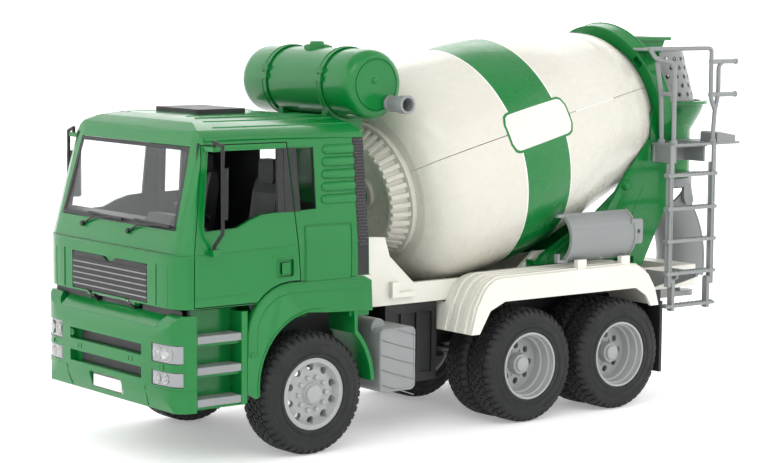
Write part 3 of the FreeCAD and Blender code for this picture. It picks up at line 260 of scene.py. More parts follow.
def piece(name, mesh, node, *materials):
    """A new object that rides with a CAD node's body and takes its slot."""
    made = bpy.data.objects.new(name, mesh)
    bpy.context.scene.collection.objects.link(made)
    for material in materials or (LOOK[SLOT_OF[node]],):
        made.data.materials.append(material)
    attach(made, BODY_OF[node])
    return made


def bevelled(made, width):
    edges = made.modifiers.new("edges", "BEVEL")
    edges.width = width / 1000
    edges.segments = 2
    edges.limit_method = "ANGLE"
    edges.angle_limit = radians(32)
    edges.harden_normals = False
    edges.miter_outer = "MITER_ARC"
    even = made.modifiers.new("normals", "WEIGHTED_NORMAL")
    even.mode = "FACE_AREA"
    even.weight = 90
    even.keep_sharp = True
    return made


def new_mesh(name, bm, angle=32):
    """The bmesh as a mesh, with smooth shading except across corners."""
    bmesh.ops.recalc_face_normals(bm, faces=bm.faces)
    mesh = bpy.data.meshes.new(name)
    bm.to_mesh(mesh)
    bm.free()
    for polygon in mesh.polygons:
        polygon.use_smooth = True
    mesh.set_sharp_from_angle(angle=radians(angle))
    return mesh


def clean_mesh(node):
    """A CAD node's mesh with its facets joined up, unless that would change its surface."""
    bm = bmesh.new()
    bm.from_mesh(NODES[node].data)
    bmesh.ops.remove_doubles(bm, verts=bm.verts, dist=3e-6)
    joined = bm.copy()
    bmesh.ops.dissolve_limit(joined, angle_limit=radians(0.8), verts=joined.verts, edges=joined.edges)
    flat = joined.copy()
    bmesh.ops.triangulate(flat, faces=flat.faces)
    area, area_joined = (sum(face.calc_area() for face in one.faces) for one in (bm, flat))
    flat.free()
    if abs(area_joined - area) < 0.002 * area:
        bm, joined = joined, bm
    joined.free()
    return new_mesh(node + "_mesh", bm)


def carried(node, width):
    """A CAD node's finished copy: its own shape with rounded edges, and painted shade in dark plastic on the
    inside where it is a cab panel.
    """
    mesh = clean_mesh(node)
    materials = [LOOK[SLOT_OF[node]]]
    if node in SHADED_PANELS:
        materials.append(INSIDE_SHADE)
        # Faces turned towards the cab's middle get the painted shade.
        for polygon in mesh.polygons:
            polygon.material_index = int((CAB_MIDDLE - polygon.center).dot(polygon.normal) > 0)
    made = piece("fine_" + node, mesh, node, *materials)
    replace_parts(made, node)
    bevelled(made, width)


# ---- shapes -----------------------------------------------------------------------------
def side(a, b, depth):
    """A side outline's (x, z) at that y."""
    return at(a, depth, b)


def plan(a, b, depth):
    """A plan outline's (x, y) at that z."""
    return at(a, b, depth)


def front(a, b, depth):
    """A front outline's (y, z) at that x."""
    return at(depth, a, b)


def around(a, b, radius, turn):
    """The point on a circle about (a, b), at a turn in radians."""
    return a + radius * cos(turn), b + radius * sin(turn)


def turns(count):
    """That many even steps of one turn, in radians."""
    return [2 * pi * i / count for i in range(count)]


def degrees(*steps):
    """A range of whole degrees, in radians."""
    return [radians(t) for t in range(*steps)]


def bridge(bm, rings, caps=False):
    """Joins each ring of points to the next with faces, and closes both ends if asked."""
    for low, high in zip(rings, rings[1:]):
        for i in range(len(low)):
            j = (i + 1) % len(low)
            bm.faces.new((low[i], low[j], high[j], high[i]))
    if caps:
        bm.faces.new(rings[0])
        bm.faces.new(rings[-1])


def prism(bm, outline, depths, place):
    """Extrudes an outline between two depths."""
    bridge(bm, [[bm.verts.new(place(a, b, d)) for a, b in outline] for d in depths], caps=True)


def rounded(a, b, radius, count=4):
    """A rectangle between two spans, with rounded corners."""
    points = []
    for x, y, sx, sy, start in ((a[0], b[0], 1, 1, 180), (a[1], b[0], -1, 1, 270),
                                (a[1], b[1], -1, -1, 0), (a[0], b[1], 1, -1, 90)):
        for i in range(count + 1):
            points.append(around(x + sx * radius, y + sy * radius, radius, radians(start + 90 * i / count)))
    return points


def grown(outline, out):
    """The outline moved outwards by a distance all round (inwards when negative)."""
    pairs = list(zip(outline, outline[1:] + outline[:1]))
    turn = 1 if sum(a[0] * b[1] - b[0] * a[1] for a, b in pairs) > 0 else -1
    normals = []
    for (a0, b0), (a1, b1) in pairs:
        size = hypot(a1 - a0, b1 - b0)
        normals.append((turn * (b1 - b0) / size, -turn * (a1 - a0) / size))
    moved = []
    for (a, b), (na, nb), (ma, mb) in zip(outline, normals[-1:] + normals[:-1], normals):
        reach = out / max(0.3, 1 + na * ma + nb * mb)
        moved.append((a + reach * (na + ma), b + reach * (nb + mb)))
    return moved


def turned(bm, centre, axis, profile, count=32):
    """Turns (distance along the axis, radius) pairs, in millimetres, about an axis."""
    axis = Vector(axis).normalized()
    first = axis.orthogonal().normalized()
    second = axis.cross(first)
    rings = []
    for along, radius in profile:
        middle = Vector(centre) + axis * along
        if radius < 1e-6:
            rings.append([bm.verts.new(at(*middle))])
            continue
        rings.append([bm.verts.new(at(*(middle + (first * cos(t) + second * sin(t)) * radius)))
                      for t in turns(count)])
    for low, high in zip(rings, rings[1:]):
        for i in range(count):
            j = (i + 1) % count
            corners = [low[i % len(low)], low[j % len(low)], high[j % len(high)], high[i % len(high)]]
            unique = list(dict.fromkeys(corners))
            if len(unique) > 2:
                bm.faces.new(unique)
    for end in (rings[0], rings[-1]):
        if len(end) > 1:
            bm.faces.new(end)


def ringed(bm, outline, inset, depths, place):
    """A flat frame: the strip just inside an outline."""
    inner = grown(outline, -inset)
    low, high = depths
    loops = [[bm.verts.new(place(a, b, d)) for a, b in line]
             for line, d in ((outline, low), (outline, high), (inner, high), (inner, low))]
    bridge(bm, loops + loops[:1])


def tube(bm, points, radius, count=14, bend=0.0):
    """A round bar along points in millimetres, with its corners rounded to that radius."""
    path = [Vector(p) for p in points]
    if bend:
        smooth_path = [path[0]]
        for before, corner, after in zip(path, path[1:], path[2:]):
            to, away = (before - corner), (after - corner)
            reach = min(bend, to.length * 0.45, away.length * 0.45)
            start, end = corner + to.normalized() * reach, corner + away.normalized() * reach
            for i in range(6):
                t = i / 5
                smooth_path.append(start * (1 - t) ** 2 + corner * 2 * t * (1 - t) + end * t ** 2)
        path = smooth_path + [path[-1]]
    rings = []
    normal = None
    for i, point in enumerate(path):
        ahead = path[min(i + 1, len(path) - 1)] - path[max(i - 1, 0)]
        ahead.normalize()
        if normal is None:
            normal = ahead.cross(Vector((0.3, 0.5, 0.8))).normalized()
        normal = (normal - ahead * normal.dot(ahead)).normalized()
        other = ahead.cross(normal)
        rings.append([bm.verts.new(at(*(point + normal * radius * cos(t) + other * radius * sin(t))))
                      for t in turns(count)])
    bridge(bm, rings, caps=True)


def detail(build, node, *materials, name=None, width=0, angle=32):
    """A detail piece on a CAD node's body, built by a function that fills a bmesh."""
    name = name or build.__name__
    bm = bmesh.new()
    build(bm)
    made = piece(name, new_mesh(name + "_mesh", bm, angle), node, *materials)
    return bevelled(made, width) if width else made


def remade(build, node, name=None, **settings):
    """A detail that stands for its CAD node."""
    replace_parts(detail(build, node, name=name or "fine_" + node, **settings), node)


def on_sides(build, node, *materials, name=None, **settings):
    """The same detail on the left and right sides: build gets the side's sign."""
    for sign, word in ((-1, "left"), (1, "right")):
        target = node if isinstance(node, str) else node[sign > 0]
        detail(lambda bm, s=sign: build(bm, s), target, *materials,
               name=f"{name or build.__name__}_{word}", **settings)


# ---- wheels -----------------------------------------------------------------------------
TYRE_R = 38.25
AXLES = {"front": 0.0, "middle": 177.8, "rear": 260.5}
TYRE_FACE = 79.0               # how far out the outer tyres' faces stand
CROWN = [(0.0, 31.0), (1.0, 35.5), (3.2, 37.65), (5.5, 38.25)]     # distance in from the face, radius


def lathe(bm, profile, count):
    """Turns a closed line of (y, radius) pairs, in millimetres, about the y axis."""
    rings = []
    for t in turns(count):
        rings.append([bm.verts.new((r * sin(t) / 1000, y / 1000, r * cos(t) / 1000)) for y, r in profile])
    bridge(bm, rings + rings[:1])


def crown(y, width):
    """The tyre's outer radius at that distance from its outer face."""
    y = min(y, width - y)
    for (y0, r0), (y1, r1) in zip(CROWN, CROWN[1:]):
        if y <= y1:
            return r0 + (r1 - r0) * (y - y0) / (y1 - y0)
    return CROWN[-1][1]


def on_tread(u, y, radius):
    t = u / TYRE_R
    return (radius * sin(t) / 1000, y / 1000, radius * cos(t) / 1000)


def tread_block(bm, outline, width, depth):
    """One chamfered lug: its outline is (distance round the tyre, distance from the outer face)."""
    cu = sum(u for u, y in outline) / len(outline)
    cy = sum(y for u, y in outline) / len(outline)
    rings = []
    for drop, inset in ((depth, 0.0), (0.22, 0.02), (0.0, 0.26)):
        ring = []
        for u, y in outline:
            size = hypot(cu - u, cy - y)
            uu, yy = u + (cu - u) * inset / size, y + (cy - y) * inset / size
            ring.append(bm.verts.new(on_tread(uu, yy, crown(yy, width) - drop)))
        rings.append(ring)
    bridge(bm, rings)
    middle = bm.verts.new(on_tread(cu, cy, crown(cy, width)))
    for i in range(len(outline)):
        bm.faces.new((rings[-1][i], rings[-1][(i + 1) % len(outline)], middle))
    bm.faces.new(rings[0][::-1])


def shoulder_block(bm, u, half, width, flip):
    """A lug that wraps from the tread over the shoulder."""
    stations = [0.55, 1.0, 2.0, 3.2, 4.9]
    rows = []
    for drop, inset in ((2.0, 0.0), (0.25, 0.0), (0.0, 0.25)):
        row = []
        for n, y in enumerate(stations):
            y = y + (inset if n == 0 else -inset if n == len(stations) - 1 else 0)
            place = width - y if flip else y
            pair = [on_tread(u + s * (half - inset), place, crown(y, width) - drop) for s in (-1, 1)]
            row.append([bm.verts.new(p) for p in pair])
        rows.append(row)
    for low, high in zip(rows, rows[1:]):
        for a, b in zip(range(len(stations) - 1), range(1, len(stations))):
            for s in (0, 1):
                bm.faces.new((low[a][s], low[b][s], high[b][s], high[a][s]))
        for end in (0, -1):
            bm.faces.new((low[end][0], low[end][1], high[end][1], high[end][0]))
    for row in (rows[0], rows[-1]):
        for a, b in zip(row, row[1:]):
            bm.faces.new((a[0], a[1], b[1], b[0]))


def tyre_mesh(name, width, rows, count, sign):
    """A tyre with a zig-zag block tread, shoulder lugs and a ringed sidewall."""
    bm = bmesh.new()
    wall = [(0.7, 22.6), (0.0, 23.4), (0.0, 24.9), (0.4, 25.2), (0.4, 25.9), (0.0, 26.3), (0.0, 29.9),
            (0.25, 30.2), (0.25, 30.8), (0.05, 31.2), (0.75, 34.2), (1.9, 35.6), (3.6, 36.7), (5.6, 37.0)]
    lathe(bm, wall + [(width - y, r) for y, r in reversed(wall)], 144)
    pitch = 2 * pi * TYRE_R / count
    step = (width - 10.6) / rows
    half, a = step / 2 - 0.28, pitch / 2 - 0.42
    for row in range(rows):
        cy = 5.3 + step * (row + 0.5)
        way = 1 if row % 2 else -1
        zig, lean = 0.45 * way, 0.35 * way
        for i in range(count):
            u = pitch * (i + 0.5 * (row % 2))
            outline = [(u - a - lean, cy - half + zig), (u - lean, cy - half - zig),
                       (u + a - lean, cy - half + zig), (u + a + lean, cy + half + zig),
                       (u + lean, cy + half - zig), (u - a + lean, cy + half + zig)]
            tread_block(bm, outline, width, 1.6)
    for i in range(count):
        for flip in (False, True):
            shoulder_block(bm, pitch * (i + 0.25 + 0.5 * flip), pitch / 2 - 0.75, width, flip)
    ticks = 60
    for i in range(ticks):
        if i % 15 < 5:
            turn = Matrix.Rotation(2 * pi * (i + 0.5) / ticks, 4, "Y")
            shape = Matrix.Translation((0, 0.00008, 0.0281)) @ Matrix.Diagonal((0.00035, 0.0004, 0.0021, 1))
            bmesh.ops.transform(bm, matrix=turn @ shape, verts=bmesh.ops.create_cube(bm, size=1.0)["verts"])
    bmesh.ops.scale(bm, vec=(1, sign, 1), verts=bm.verts)
    return new_mesh(name, bm, 40)


def tyres():
    for axle, x in AXLES.items():
        node = axle + "_tyres"
        twin = axle != "front"
        width, rows, count = (22.5, 4, 46) if twin else (26.0, 5, 46)
        for sign, word in ((1, "left"), (-1, "right")):
            mesh = tyre_mesh(f"{axle}_{word}_tyre_mesh", width, rows, count, sign)
            for n in range(2 if twin else 1):
                made = piece(f"{axle}_{word}_tyre_{n + 1}", mesh, node)
                made.matrix_world = Matrix.Translation(at(x, -sign * (TYRE_FACE - n * (width + 1.0)), TYRE_R))
                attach(made, BODY_OF[node])
                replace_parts(made, node)


# ---- cab details ------------------------------------------------------------------------
CAB_SIDE = 79.0
LEAN = 0.0963                  # how far the cab's sides lean in above the belt
LEAN_Z = 131.0
DOORS = ("door_left", "door_right")
DOOR_WINDOW = [(-74.6, 190.0), (-22.4, 190.0), (-24.4, 152.2), (-38.5, 151.2), (-47.7, 148.4), (-57, 144.4),
               (-79.2, 143.4), (-80.2, 146.0)]
QUARTER_WINDOW = [(-11.6, 190.0), (1.6, 190.0), (1.6, 152.6), (-10.4, 152.2)]
INTAKE_TOP, INTAKE_FOOT = 194.4, 128.0


def on_cab(build, node, *materials, name=None, **settings):
    """A detail on both sides of the cab, bent to the sides' lean."""
    def leaning(bm, sign):
        build(bm, sign)
        everything = bm.verts[:] + bm.edges[:] + bm.faces[:]
        bmesh.ops.bisect_plane(bm, geom=everything, plane_co=(0, 0, LEAN_Z / 1000), plane_no=(0, 0, 1))
        for vert in bm.verts:
            vert.co.y -= sign * LEAN * max(0.0, vert.co.z - LEAN_Z / 1000)
    on_sides(leaning, node, *materials, name=name or build.__name__, **settings)


def flank(sign, low, high):
    """The two depths of a detail that stands out from the cab's side."""
    return sign * (CAB_SIDE + low), sign * (CAB_SIDE + high)


def arch_curve(shrink):
    """The (x, z) line of the front wheel arch, drawn in by that much."""
    return [(-18 + (31.8 - shrink) * cos(t), 78 + (30.9 - shrink) * sin(t)) for t in degrees(178, 89, -8)]


def louvres(bm, sign):
    """Five half-round bulges that run back to the intake."""
    for z in (188.3, 180.8, 173.2, 165.6, 158.0):
        nose = 8.4 - (188.3 - z) * 0.089
        sections = [(0.0, 0.05), (0.3, 0.45), (0.9, 0.72), (1.9, 0.9), (3.4, 1.0), (31.4 - nose, 1.0)]
        rings = []
        for along, grow in sections:
            rings.append([bm.verts.new(at(nose + along, sign * (CAB_SIDE - 0.3 + 2.3 * grow * sin(t)),
                                          z + 3.05 * grow * cos(t)))
                          for t in (pi * k / 8 for k in range(9))])
        bridge(bm, rings, caps=True)


def side_panel(bm, sign):
    """The raised rectangular panel behind the door, in a thin raised border."""
    prism(bm, rounded((-6.8, 27.2), (108.9, 142.2), 1.6), flank(sign, -0.3, 0.3), side)
    ringed(bm, rounded((-7.9, 28.3), (107.8, 143.3), 2.2), 0.6, flank(sign, -0.3, 0.55), side)


def intake_studs(bm, sign):
    """Offset rows of small studs over the intake strip, down to the plain foot."""
    for row in range(34):
        z = INTAKE_TOP - 1.0 - 1.95 * row
        for k in range(5):
            x = 33.3 + 1.75 * k + (0.9 if row % 2 else 0.0)
            if x > 40.0 or z < INTAKE_FOOT:
                continue
            points = [(x - 0.66, z), (x, z - 0.72), (x + 0.66, z), (x, z + 0.72)]
            prism(bm, points, flank(sign, -0.2, 0.5), side)


# Each strip's outline in (x, z), with how far in and out it stands from the cab's side.
STRIPS = {
    "belt_line": [([(-86.6, 128.8), (-86.6, 129.5), (-14.0, 132.0), (-14.0, 131.3)], -0.3, 0.35)],
    "sill_line": [([(-86.4, 103.6), (-86.4, 104.1), (-48.0, 104.9), (-48.0, 104.4)], -0.3, 0.3)],
    "door_pillar": [([(-25.2, 190.4), (-18.0, 190.4), (-14.9, 151.8), (-27.0, 151.8)], -1.6, 0.45),
                    ([(-20.9, 190.2), (-20.1, 190.2), (-20.8, 151.8), (-21.8, 151.8)], -0.2, 0.8)],
    "shell_pillar": [([(-16.9, 190.4), (-11.3, 190.4), (-10.1, 151.8), (-13.7, 151.8)], -1.6, 0.45)]}


def strips(name, node, *materials, width):
    """Creases and black window posts on both sides of the cab."""
    def build(bm, sign):
        for outline, low, high in STRIPS[name]:
            prism(bm, outline, flank(sign, low, high), side)
    on_cab(build, node, *materials, name=name, width=width)


def door_gap_shade(bm, sign):
    """Painted shade: a dark sheet behind the gap round each door, where there is only shade."""
    outline = [(-78.2, 193.5), (-87.4, 131), (-87.4, 98.8), (-46.5, 98.8)]
    outline += [(x, z) for x, z in arch_curve(-1.0) if -45.5 < x < -19] + [(-11.2, 109.9), (-18.1, 193.5)]
    ringed(bm, grown(outline, 1.6), 3.0, flank(sign, -4.0, -2.7), side)


def handle(bm, sign):
    """The door pull: a frame round the recess and the flap in it."""
    ringed(bm, rounded((-28.7, -15.5), (111.8, 124.2), 2.0), 1.0, flank(sign, -0.3, 0.5), side)
    prism(bm, rounded((-25.0, -18.6), (114.4, 121.4), 0.8), flank(sign, -1.5, 0.3), side)


def window_lip(bm, sign, outline):
    """A thin raised edge round a window."""
    ringed(bm, grown(outline, 1.0), 0.8, flank(sign, -0.4, 0.35), side)


def roof_z(x, y):
    """The roof's height at a point."""
    along = [(-74, 205.4), (-65, 208.6), (-54, 209.4), (0, 209.0), (30, 207.0), (37, 204)]
    across = [(0, 210.4), (42.8, 208.2), (55.8, 205.6), (65.8, 202.0), (71.3, 198.0)]

    def level(line, where):
        for (a, za), (b, zb) in zip(line, line[1:]):
            if where <= b:
                return za + (zb - za) * (where - a) / (b - a)
        return line[-1][1]
    return min(level(along, x), level(across, abs(y)))


def roof_ridges(bm):
    """Low lengthwise ridges on the roof and the gutter along each edge."""
    for y in (-62, -52, -43, -34, 34, 43, 52, 62):
        tube(bm, [(x, y, roof_z(x, y) - 0.35) for x in (-64, -56, -40, -20, 0, 16, 30, 36)], 0.75, 10)
    for sign in (-1, 1):
        gutter = [(-76.5, sign * 72.3, 196.6), (-60, sign * 72.7, 197.2), (-20, sign * 72.7, 197.0),
                  (20, sign * 72.7, 196.2), (38.5, sign * 72.6, 195.6)]
        tube(bm, gutter, 0.85, 10)


def screen(y, z, depth):
    """A point in the windscreen's slope."""
    return at(-96.5 + 13.5 / 49.7 * (z - 130.4) + depth, y, z)


def windscreen_frame(bm):
    """The dark border inside the windscreen's edge."""
    outline = [(-62.4, 192.4), (62.4, 192.4), (66.1, 143.8), (-66.1, 143.8)]
    ringed(bm, outline, 2.4, (-0.35, 0.3), screen)


def front_lines(bm):
    """The crease round the nose and the panel lines beside the grille."""
    nose = [(-84, -79.1), (-92, -77.8), (-95.6, -74.2), (-97.8, -67.7), (-98.7, -58.1), (-99.2, 0)]
    path = nose + [(x, -y) for x, y in nose[-2::-1]]
    tube(bm, [(x, y, 129.3) for x, y in path], 0.45, 8)
    for sign in (-1, 1):
        for y in (53.8, 65.3):
            x = -98.9 if y < 60 else -97.9
            tube(bm, [(x, sign * y, 98.8), (x, sign * y, 123.2)], 0.35, 8)


def grille_plate(bm):
    """The black grille with rounded corners and a notch in the middle of its top."""
    outline = rounded((-43.9, 43.9), (99.0, 122.1), 2.4)
    top = [i for i, (y, z) in enumerate(outline) if z > 122.0]
    notch = [(7.4, 122.1), (3.4, 119.4), (-3.4, 119.4), (-7.4, 122.1)]
    prism(bm, outline[:top[0] + 1] + notch + outline[top[-1]:], (-98.5, -97.5), front)
    for z in (101.9, 105.4, 108.9, 112.4, 115.9):
        prism(bm, rounded((-43.4, 43.4), (z + 0.6, z + 2.9), 0.5, 2), (-98.9, -98.2), front)


def grille_trim(bm):
    """Thin silver lines between the grille's slats."""
    for z in (101.7, 105.2, 108.7, 112.2, 115.7):
        prism(bm, [(-43.2, z), (43.2, z), (43.2, z + 0.55), (-43.2, z + 0.55)], (-99.0, -98.2), front)


def cab_details():
    on_cab(louvres, "cab_shell")
    on_cab(side_panel, "cab_shell", width=0.15)
    on_cab(intake_studs, "air_intakes", STUD)
    strips("belt_line", DOORS, width=0.15)
    strips("sill_line", DOORS, width=0.12)
    strips("door_pillar", DOORS, BLACK, width=0.2)
    strips("shell_pillar", "cab_shell", BLACK, width=0.2)
    on_cab(door_gap_shade, "cab_shell", INSIDE_SHADE)
    on_cab(handle, DOORS, width=0.2)
    on_cab(lambda bm, sign: window_lip(bm, sign, DOOR_WINDOW), DOORS, name="window_lip", width=0.15)
    on_cab(lambda bm, sign: window_lip(bm, sign, QUARTER_WINDOW), "cab_shell", name="quarter_lip", width=0.15)
    detail(roof_ridges, "cab_shell")
    detail(front_lines, "cab_shell")
    detail(windscreen_frame, "windscreen", BLACK, width=0.2)
    remade(grille_plate, "grille", name="grille_plate", width=0.15)
    detail(grille_trim, "grille", SILVER, width=0.1)


# ---- bumper, lamps and wheel arch -------------------------------------------------------
BUMPER_PATH = [(-86, -79.0), (-88, -79.0), (-93, -78.0), (-97, -75.0), (-99.6, -70.0), (-100.8, -60.0),
               (-102.0, -40.0)]


def along_bumper(start_y, out):
    """The bumper's outline on the left from its end to a given y, moved outwards."""
    points = [p for p in BUMPER_PATH if p[1] < start_y]
    (x0, y0), (x1, y1) = points[-1], BUMPER_PATH[len(points)]
    points.append((x0 + (x1 - x0) * (start_y - y0) / (y1 - y0), start_y))
    return [(x - out * (0.2 if y < -78 else 1.0), y - (out if y < -69 else 0.0)) for x, y in points]


def bumper_lines(bm):
    """Thin raised lines that mark the bumper's lower corner panels."""
    for sign in (-1, 1):
        path = [(x, -sign * y, 49.6) for x, y in along_bumper(-46.0, 0.05)]
        tube(bm, path, 0.4, 8)
        tube(bm, [(-102.0, sign * 46, 49.6), (-100.6, sign * 46, 43.0), (-98.6, sign * 45, 37.0)], 0.35, 8)


def bumper_tray(bm):
    """The sloping tray in the notch under the cab."""
    tray = [(-100.7, 86.3), (-93.0, 93.2), (-92.4, 92.4), (-100.0, 85.5)]
    prism(bm, tray, (-56.5, 56.5), side)


def nose_gap_shade(bm):
    """Painted shade: a dark plate and three dark strips behind the gap between the bumper and the cab, where
    there is only shade.
    """
    prism(bm, rounded((-72.0, 72.0), (78.0, 97.1), 1.0, 2), (-88.4, -86.6), front)
    for low, high in ((-73.5, -30), (-17, 17), (30, 73.5)):
        prism(bm, rounded((low, high), (84.0, 97.0), 0.6, 2), (-93.4, -92.4), front)


def bumper_sensors(bm):
    """The small square covers and the round one on the bumper's face."""
    for y, z, x in ((-62.5, 62.9, -100.6), (62.5, 62.9, -100.6), (-30, 63.8, -102.0), (30, 63.8, -102.0)):
        ringed(bm, rounded((y - 2.3, y + 2.3), (z - 1.6, z + 1.6), 0.4, 2), 0.5, (x + 0.5, x - 0.3), front)
    turned(bm, (-101.6, 38.9, 71.2), (-1, 0, 0), [(0, 1.9), (0.8, 1.9), (0.8, 1.3), (0.3, 1.1), (0.3, 0)], 20)


def plate_border(bm):
    """The dark border of the blank registration plate."""
    ringed(bm, rounded((-17.3, 17.3), (40.0, 48.4), 0.8), 0.5, (-99.9, -100.12), front)


def lamp_dishes(bm):
    """Two round reflectors in each upper lamp and two small ones in each lower lamp."""
    dish = [(-0.6, 4.3), (0.5, 4.3), (0.5, 3.9), (-0.2, 3.2), (-0.5, 1.6), (0.1, 1.5), (0.4, 0.9), (0.5, 0)]
    small = [(-0.6, 3.1), (0.4, 3.1), (0.4, 2.7), (-0.2, 2.0), (-0.4, 1.0), (0.1, 0.9), (0.2, 0)]
    for sign in (-1, 1):
        for y, x, out in ((58.4, -100.4, -0.05), (67.4, -99.6, -0.16)):
            turned(bm, (x, sign * y, 71.0), (-1, -out * sign * 2, 0), dish, 28)
        for y, x in ((58.4, -100.4), (66.2, -99.7)):
            turned(bm, (x, sign * y, 56.0), (-1, 0, 0), small, 24)


def lamp_frames(bm):
    """The dark surround of each lamp unit."""
    face = [(-93.2, -77.3), (-97.2, -74.7), (-99.4, -69.8), (-100.6, -60), (-101.1, -52.6)]
    for sign in (-1, 1):
        for low, high in ((65.4, 76.6), (51.6, 60.4)):
            for z in (low, high):
                tube(bm, [(x + 0.15, -sign * y, z) for x, y in face], 0.32, 8)
            tube(bm, [(-101.0, sign * 53.0, low), (-101.0, sign * 53.0, high)], 0.32, 8)


def arch_lines(bm, sign):
    """The raised outer band of the wheel arch, its inner lip and the marker on it."""
    y = sign * CAB_SIDE
    band = [(-49.0, y, 66)] + [(x, y, z) for x, z in arch_curve(1.0)] + [(20, y, 107.8), (42.4, y, 105.0)]
    tube(bm, band, 0.7, 10)
    crease = [(-42.5, y, 66)] + [(x, y, z) for x, z in arch_curve(7.0)] + [(20, y, 101.6), (43, y, 99.4)]
    tube(bm, crease, 0.45, 8)
    lip = [(42.0 * sin(t), y, 46.6 + 44.2 * cos(t)) for t in degrees(-96, 9, 8)]
    tube(bm, lip, 0.8, 10)
    turned(bm, (-46.2, y, 66.8), (0, sign, 0), [(-0.4, 1.7), (0.5, 1.7), (0.9, 1.2), (1.0, 0)], 20)


def side_box_frame(bm, sign):
    """The raised border of the side box's face and its slanting ribs."""
    ringed(bm, rounded((51.0, 78.5), (33.9, 73.5), 3.6), 1.1, (sign * 78.4, sign * 79.3), side)
    for i in range(5):
        z = 31.4 + 9.5 * i
        rib = [(51.6, z + 7.6), (78.0, z - 1.9), (78.0, z - 1.3), (51.6, z + 8.2)]
        if 34.6 < z + 8 and z + 8.2 < 73:
            prism(bm, rib, (sign * 78.4, sign * 79.15), side)


def front_details():
    detail(bumper_lines, "bumper")
    detail(bumper_tray, "bumper", width=0.3)
    detail(nose_gap_shade, "bumper", BLACK, width=0.3)
    detail(bumper_sensors, "bumper")
    detail(plate_border, "number_plate", BLACK)
    detail(lamp_dishes, "headlamps", LOOK["steel"])
    detail(lamp_frames, "headlamps", BLACK)
    on_sides(arch_lines, "front_wheel_arches")
    on_sides(side_box_frame, ("battery_box", "fuel_tank"), width=0.15)


# ---- drum and water tank ----------------------------------------------------------------
DRUM_PROFILE = [(46, 53), (48.6, 58.5), (53, 64.6), (60, 70.3), (68, 73.6), (82, 76.2), (100, 77), (130, 77),
                (148, 75.8), (166, 73.6), (188, 69.6), (210, 64.5), (232, 60.1), (246, 57.5), (254, 54.4),
                (259, 49.5), (260.5, 47.3), (274, 47.3)]
DRUM_WALL, NECK_R, BELLY_R = 2.0, 47.3, 76
HOOP_AT, HOOP_WIDTH, HOOP_HEIGHT = 239, 1.5, 0.9               # the raised hoop near the neck
SEAM = radians(18.0)           # how far up from the drum's left side its seam lies
DRUM_UP = Vector((-sin(DRUM_TILT), 0, cos(DRUM_TILT)))


def smooth_line(points, steps):
    """A curve through the points, level with its chords at both ends."""
    curve = [points[0]]
    for i in range(len(points) - 1):
        before, a, b = points[max(i - 1, 0)], points[i], points[i + 1]
        after = points[min(i + 2, len(points) - 1)]
        for k in range(1, steps + 1):
            t = k / steps
            curve.append(tuple(0.5 * (2 * a[n] + (b[n] - before[n]) * t
                                      + (2 * before[n] - 5 * a[n] + 4 * b[n] - after[n]) * t * t
                                      + (3 * a[n] - before[n] - 3 * b[n] + after[n]) * t ** 3) for n in (0, 1)))
    return curve


DRUM_CURVE = [(46, 40.2)] + smooth_line(DRUM_PROFILE[:-1], 4) + [DRUM_PROFILE[-1]]


def on_drum(station, radius, turn):
    """A point on the drum: turn is measured up from the left side."""
    out = Vector((0, -1, 0)) * cos(turn) + DRUM_UP * sin(turn)
    return DRUM_FOOT + DRUM_AXIS * (station / 1000) + out * (radius / 1000)


def drum_radius(station):
    for (s0, r0), (s1, r1) in zip(DRUM_CURVE, DRUM_CURVE[1:]):
        if s0 <= station <= s1 and s1 > s0:
            return r0 + (r1 - r0) * (station - s0) / (s1 - s0)
    return NECK_R


def drum_shell(bm, start):
    """Half the drum as a closed shell, with a raised hoop near its neck and softened seam edges."""
    outer = [(s, r + HOOP_HEIGHT * exp(-((s - HOOP_AT) / HOOP_WIDTH) ** 2)) for s, r in DRUM_CURVE]
    inner = [(max(s, 48.0), max(r - DRUM_WALL, 40.2 if s < 47 else 45.3)) for s, r in DRUM_CURVE]
    rings = []
    steps, gap = 84, 0.0028
    for i in range(steps + 1):
        t = start + gap + (pi - 2 * gap) * i / steps
        edge = 0.35 if i in (0, steps) else 0.0
        rings.append([bm.verts.new(on_drum(s, r - edge, t)) for s, r in outer]
                     + [bm.verts.new(on_drum(s, r, t)) for s, r in reversed(inner)])
    bridge(bm, rings, caps=True)


def drum_patch(bm, stations, half_turn, lift, corner):
    """A thin rounded panel that lies on the drum over the seam on its left side."""
    middle = (stations[0] + stations[1]) / 2
    half = (stations[1] - stations[0]) / 2
    columns, rows = 26, 14
    grid = {}
    for i in range(columns + 1):
        u = -1 + 2 * i / columns
        from_end = (1 - abs(u)) * half
        reach = 1.0
        if from_end < corner:
            cut_in = corner - sqrt(max(0.0, corner ** 2 - (corner - from_end) ** 2))
            reach = 1 - cut_in / (half_turn * BELLY_R)
        for j in range(rows + 1):
            v = (-1 + 2 * j / rows) * reach
            s = middle + u * half
            for layer, height in enumerate((0.02, lift)):
                grid[i, j, layer] = bm.verts.new(on_drum(s, drum_radius(s) + height, SEAM + v * half_turn))
    for i in range(columns):
        for j in range(rows):
            for layer in (0, 1):
                bm.faces.new([grid[a, b, layer] for a, b in ((i, j), (i + 1, j), (i + 1, j + 1), (i, j + 1))])
    rim = ([(i, 0) for i in range(columns)] + [(columns, j) for j in range(rows)]
           + [(i, rows) for i in range(columns, 0, -1)] + [(0, j) for j in range(rows, 0, -1)])
    for a, b in zip(rim, rim[1:] + rim[:1]):
        bm.faces.new((grid[*a, 0], grid[*b, 0], grid[*b, 1], grid[*a, 1]))


def drum_details():
    for node, start in (("drum_shell_upper", SEAM), ("drum_shell_lower", SEAM + pi)):
        remade(lambda bm, s=start: drum_shell(bm, s), node, angle=40)
    detail(lambda bm: drum_patch(bm, (108, 167), 0.185, 0.16, 7.0), "drum_shell_upper", GREEN,
           name="panel_border")
    detail(lambda bm: drum_patch(bm, (109.6, 165.4), 0.163, 0.30, 6.0), "drum_shell_upper", WHITE,
           name="panel_face")


